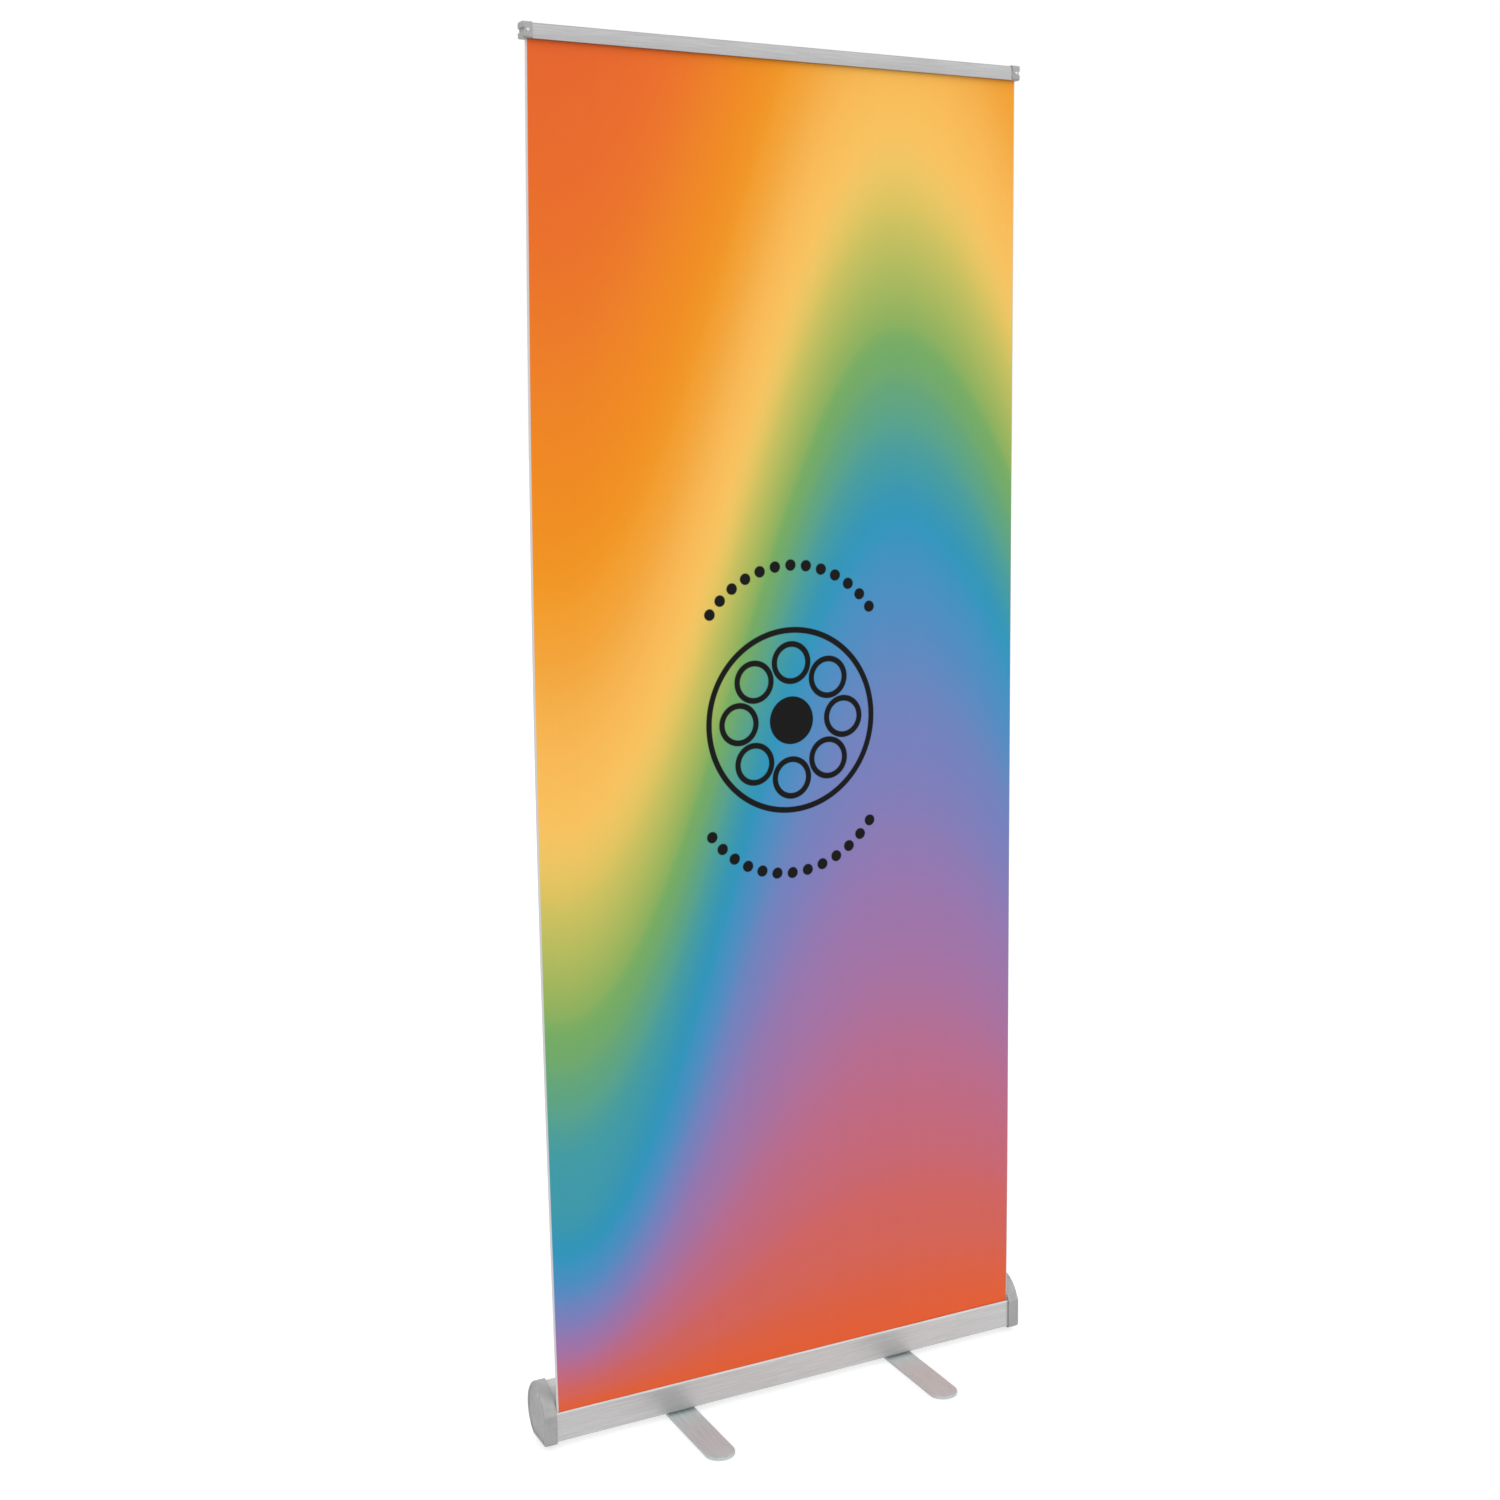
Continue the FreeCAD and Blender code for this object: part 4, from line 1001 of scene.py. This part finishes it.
@dataclass
class WoundFilm:
    """What stays wound on the roller: turns of leader in a spiral, and the strip up to the slot."""

    thickness: float = 0.0002
    turns: int = 4
    turn_steps: int = 48
    gap: float = 0.0003
    sag: float = 0.0006
    strip_steps: int = 12

    def __post_init__(self) -> None:
        """Takes the roller's place and sizes from the frame."""
        low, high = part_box("roller_tube")
        self.axis_y, self.axis_z = (low.y + high.y) / 2, (low.z + high.z) / 2
        self.inner = (high.z - low.z) / 2
        self.half = high.x
        roll_low, roll_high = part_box("film_roll")
        self.outer = (roll_high.z - roll_low.z) / 2
        film_low, film_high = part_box("banner_lower")
        self.film_y, self.entry = (film_low.y + film_high.y) / 2, film_low.z

    def touch_angle(self) -> float:
        """Angle round the roller at which the straight strip meets the winding."""
        run_y, run_z = self.film_y - self.axis_y, self.entry - self.axis_z
        reach = self.outer + self.gap
        return math.atan2(run_z, run_y) + math.acos(reach / math.hypot(run_y, run_z))

    def strip_of(self, line: list[Pair], name: str) -> Piece:
        """Pushes a line across the width, with the film's thickness.

        Args:
            line: Points (y, z) along the middle of the film.
            name: The piece's name.

        Returns:
            The piece.
        """
        build = Builder()
        loops = []
        for x in (-self.half, self.half):
            sides: tuple[list[Vector], list[Vector]] = ([], [])
            for n, (y, z) in enumerate(line):
                before, after = line[max(0, n - 1)], line[min(len(line) - 1, n + 1)]
                along = Vector((0, after[0] - before[0], after[1] - before[1])).normalized()
                across = Vector((0, along.z, -along.y)) * self.thickness / 2
                sides[0].append(Vector((x, y, z)) + across)
                sides[1].append(Vector((x, y, z)) - across)
            loops.append(build.ring(sides[0] + sides[1][::-1]))
        build.skin(loops, closed=True)
        count = len(line)
        for loop in loops:
            for n in range(count - 1):
                build.face((loop[n], loop[n + 1], loop[2 * count - 2 - n], loop[2 * count - 1 - n]))
        piece = build.piece(name, (LEADER,))
        return piece

    def build(self) -> None:
        """Builds the winding and the strip."""
        end = self.touch_angle()
        total = 2 * math.pi * self.turns
        spread = self.outer - self.inner - self.thickness
        line = []
        for share in steps(0.0, 1.0, self.turns * self.turn_steps):
            radius = self.inner + self.thickness / 2 + spread * share
            angle = end + total * (1 - share)
            line.append((self.axis_y + radius * math.cos(angle), self.axis_z + radius * math.sin(angle)))
        wound = self.strip_of(line, "film_wound")
        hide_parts("film_roll")
        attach(wound, "roller")
        reach = self.outer + self.gap
        foot = (self.axis_y + reach * math.cos(end), self.axis_z + reach * math.sin(end))
        head = (self.film_y, self.entry)
        run = (head[0] - foot[0], head[1] - foot[1])
        span = math.hypot(*run)
        strip = []
        for share in steps(0.0, 1.0, self.strip_steps):
            dip = self.sag * math.sin(math.pi * share)
            y = foot[0] + run[0] * share + dip * run[1] / span
            z = foot[1] + run[1] * share - dip * run[0] / span
            strip.append((y, z))
        leader = self.strip_of(strip, "film_strip")
        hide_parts("film_leader")
        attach(leader, "base")


# Spring


@dataclass
class RollerSpring:
    """Torsion spring inside the roller: a wound wire with a straight tail at each end."""

    wire: float = 0.0016
    pitch: float = 0.0040
    turn_steps: int = 20
    wire_steps: int = 8
    tail: float = 0.004

    def route(self) -> list[Vector]:
        """Returns the points down the middle of the wire."""
        low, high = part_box("torsion_spring")
        centre_y, centre_z = (low.y + high.y) / 2, (low.z + high.z) / 2
        radius = (high.z - low.z) / 2 - self.wire
        start, end = low.x + self.tail, high.x - self.tail
        turns = round((end - start) / self.pitch)
        points = [Vector((low.x, centre_y + radius, centre_z))]
        for share in steps(0.0, 1.0, turns * self.turn_steps):
            angle = 2 * math.pi * turns * share
            x = start + (end - start) * share
            y, z = centre_y + radius * math.cos(angle), centre_z + radius * math.sin(angle)
            points.append(Vector((x, y, z)))
        points.append(Vector((high.x, centre_y + radius, centre_z)))
        return points

    def build(self) -> None:
        """Sweeps a round section along the wire."""
        route = self.route()
        build = Builder()
        rings = []
        for n, point in enumerate(route):
            along = (route[min(len(route) - 1, n + 1)] - route[max(0, n - 1)]).normalized()
            side = Vector((1, 0, 0)) if abs(along.x) < 0.7 else Vector((0, 1, 0))
            up = along.cross(side).normalized()
            side = up.cross(along)
            ring = []
            for step in range(self.wire_steps):
                turn = 2 * math.pi * step / self.wire_steps
                ring.append(point + (side * math.cos(turn) + up * math.sin(turn)) * self.wire)
            rings.append(build.ring(ring))
        build.skin(rings, closed=True)
        build.face(tuple(reversed(rings[0])))
        build.face(tuple(rings[-1]))
        spring = build.piece("roller_spring", (OILED_SPRING,), smooth_angle=math.radians(60))
        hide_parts("torsion_spring")
        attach(spring, "roller")


# Sub-assemblies


class SubAssembly:
    """Part of the stand whose pieces keep their CAD shape and take a finish."""

    finishes: dict[Finish, tuple[str, ...]] = {}

    def build(self) -> None:
        """Gives each piece its material."""
        for finish, names in self.finishes.items():
            for name in names:
                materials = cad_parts[name].data.materials
                materials.clear()
                materials.append(finish.material())
                LOG.info("%s: %s", name, finish.title)


class Base(SubAssembly):
    """Housing with its end caps, and the socket that the pole stands in."""

    finishes = {
        HOUSING_SKIN: ("housing_shell",),
        CAP_PLASTIC: ("end_cap_left", "end_cap_right"),
        FITTING_PLASTIC: ("pole_socket",),
        ZINC: ("end_cap_screws", "socket_screws"),
    }


class Roller(SubAssembly):
    """Roller inside the base, the axle at one end and the spring's arbor at the other."""

    finishes = {
        ROLLER_SKIN: ("roller_tube",),
        FITTING_PLASTIC: ("roller_plug_left", "roller_plug_right"),
        ZINC: ("idler_axle", "spring_arbor", "spring_anchor"),
    }


class Feet(SubAssembly):
    """Flat feet with their pivots and pads."""

    finishes = {
        FOOT_SKIN: ("foot_bar_left", "foot_bar_right"),
        ZINC: ("foot_pivot_screws", "foot_spacers", "pivot_nuts"),
        PAD_RUBBER: ("foot_pads_left", "foot_pads_right"),
    }


class Pole(SubAssembly):
    """Telescopic pole: three tubes, their locks and bushes, and the head."""

    finishes = {
        TUBE_SKIN: ("pole_tube_lower", "pole_tube_middle", "pole_tube_upper"),
        FITTING_PLASTIC: ("pole_foot_plug", "pole_head", "lock_collar_lower", "lock_collar_upper"),
        BUSH_PLASTIC: ("lower_collet", "upper_collet", "middle_glide", "upper_glide"),
    }


class TopRail(SubAssembly):
    """Rail that holds the film's upper edge, its snap cover and its caps."""

    finishes = {
        RAIL_SKIN: ("rail_back", "rail_clamp_cover"),
        RAIL_CAP_PLASTIC: ("rail_cap_left", "rail_cap_right"),
        ZINC: ("rail_cap_screws",),
    }


# Stage


@dataclass
class Studio:
    """Pale floor and plain soft light."""

    floor_half: float = 60.0
    floor_colour: Colour = (0.58, 0.58, 0.58)
    floor_glow: float = 0.60
    ambient: float = 0.75
    suns: tuple[tuple[str, float, float, float, float], ...] = (
        ("key", -38.0, 30.0, 0.80, 60.0),
        ("fill", 46.0, 20.0, 0.60, 70.0),
        ("rear", 150.0, 30.0, 0.38, 70.0),
    )

    def seen(self, graph: Graph) -> Socket:
        """Returns 1 for rays that show a surface: from the camera, off a gloss or through it."""
        rays = graph.node("ShaderNodeLightPath").outputs
        direct = graph.plus(rays["Is Camera Ray"], rays["Is Glossy Ray"])
        return graph.math("ADD", direct, rays["Is Transmission Ray"], clamp=True)

    def floor(self) -> None:
        """Builds the floor, which shows white beyond the object's shadow."""
        half = self.floor_half
        mesh = bpy.data.meshes.new("floor")
        corners = [(-half, -half, 0), (half, -half, 0), (half, half, 0), (-half, half, 0)]
        mesh.from_pydata(corners, [], [(0, 1, 2, 3)])
        floor = bpy.data.objects.new("floor", mesh)
        bpy.context.scene.collection.objects.link(floor)
        made = bpy.data.materials.new("floor")
        made.use_nodes = True
        made.node_tree.nodes.clear()
        graph = Graph(made.node_tree)
        paint = graph.node("ShaderNodeBsdfDiffuse")
        paint.inputs["Color"].default_value = (*self.floor_colour, 1.0)
        glow = graph.node("ShaderNodeEmission")
        graph.feed(glow.inputs["Strength"], graph.times(self.seen(graph), self.floor_glow))
        both = graph.node("ShaderNodeAddShader")
        graph.feed(both.inputs[0], paint.outputs[0])
        graph.feed(both.inputs[1], glow.outputs[0])
        output = graph.node("ShaderNodeOutputMaterial")
        graph.feed(output.inputs["Surface"], both.outputs[0])
        mesh.materials.append(made)

    def world(self) -> None:
        """Builds the surroundings: plain light for the object, white where they are seen."""
        world = bpy.data.worlds.new("studio")
        bpy.context.scene.world = world
        world.use_nodes = True
        world.node_tree.nodes.clear()
        graph = Graph(world.node_tree)
        seen = self.seen(graph)
        sky = graph.node("ShaderNodeBackground")
        sky.inputs["Color"].default_value = (1.0, 1.0, 1.0, 1.0)
        graph.feed(sky.inputs["Strength"], graph.span(seen, 0.0, 1.0, self.ambient, 1.0, smooth=False))
        output = graph.node("ShaderNodeOutputWorld")
        graph.feed(output.inputs["Surface"], sky.outputs[0])

    def lamps(self) -> None:
        """Hangs the lamps, each wide and far, by its bearing from -Y and its height in degrees."""
        for name, bearing, height, strength, width in self.suns:
            lamp = bpy.data.lights.new(name, "SUN")
            lamp.energy = strength
            lamp.angle = math.radians(width)
            hung = bpy.data.objects.new(name, lamp)
            turn, rise = math.radians(bearing), math.radians(height)
            out = math.cos(rise)
            towards = Vector((math.sin(turn) * out, -math.cos(turn) * out, math.sin(rise)))
            hung.rotation_euler = towards.to_track_quat("Z", "Y").to_euler()
            bpy.context.scene.collection.objects.link(hung)

    def build(self) -> None:
        """Builds the whole stage."""
        self.floor()
        self.world()
        self.lamps()
        bpy.context.scene.view_settings.view_transform = "Standard"


@dataclass
class Viewpoint:
    """Camera that looks at the stand from its front left, a little above its middle."""

    place: Vector = field(default_factory=lambda: Vector((-1.4046, -2.7886, 1.5482)))
    bearing: float = 28.712
    tilt: float = -7.261
    roll: float = -0.227
    lens: float = 49.02
    sensor: float = 36.0
    shift: Pair = (-0.0667, -0.0533)
    clip: Pair = (0.05, 200.0)

    def build(self) -> None:
        """Makes the camera and gives it to the scene."""
        data = bpy.data.cameras.new("camera")
        data.sensor_width, data.lens = self.sensor, self.lens
        data.shift_x, data.shift_y = self.shift
        data.clip_start, data.clip_end = self.clip
        turn, rise, roll = (math.radians(angle) for angle in (self.bearing, self.tilt, self.roll))
        right = Vector((math.cos(turn), -math.sin(turn), 0.0))
        ahead = Vector((math.sin(turn) * math.cos(rise), math.cos(turn) * math.cos(rise), math.sin(rise)))
        up = right.cross(ahead)
        across = right * math.cos(roll) + up * math.sin(roll)
        above = up * math.cos(roll) - right * math.sin(roll)
        camera = bpy.data.objects.new("camera", data)
        facing = Matrix((across, above, -ahead)).transposed().to_4x4()
        camera.matrix_world = Matrix.Translation(self.place) @ facing
        bpy.context.scene.collection.objects.link(camera)
        bpy.context.scene.camera = camera


def main() -> None:
    """Builds the camera, the stage and each part of the stand."""
    logging.basicConfig(level=logging.INFO, format="%(name)s %(message)s")
    for part in (Viewpoint, Studio, Base, Roller, Feet, Pole, TopRail, BannerFilm, WoundFilm, RollerSpring):
        part().build()


if __name__ == "__main__":
    main()
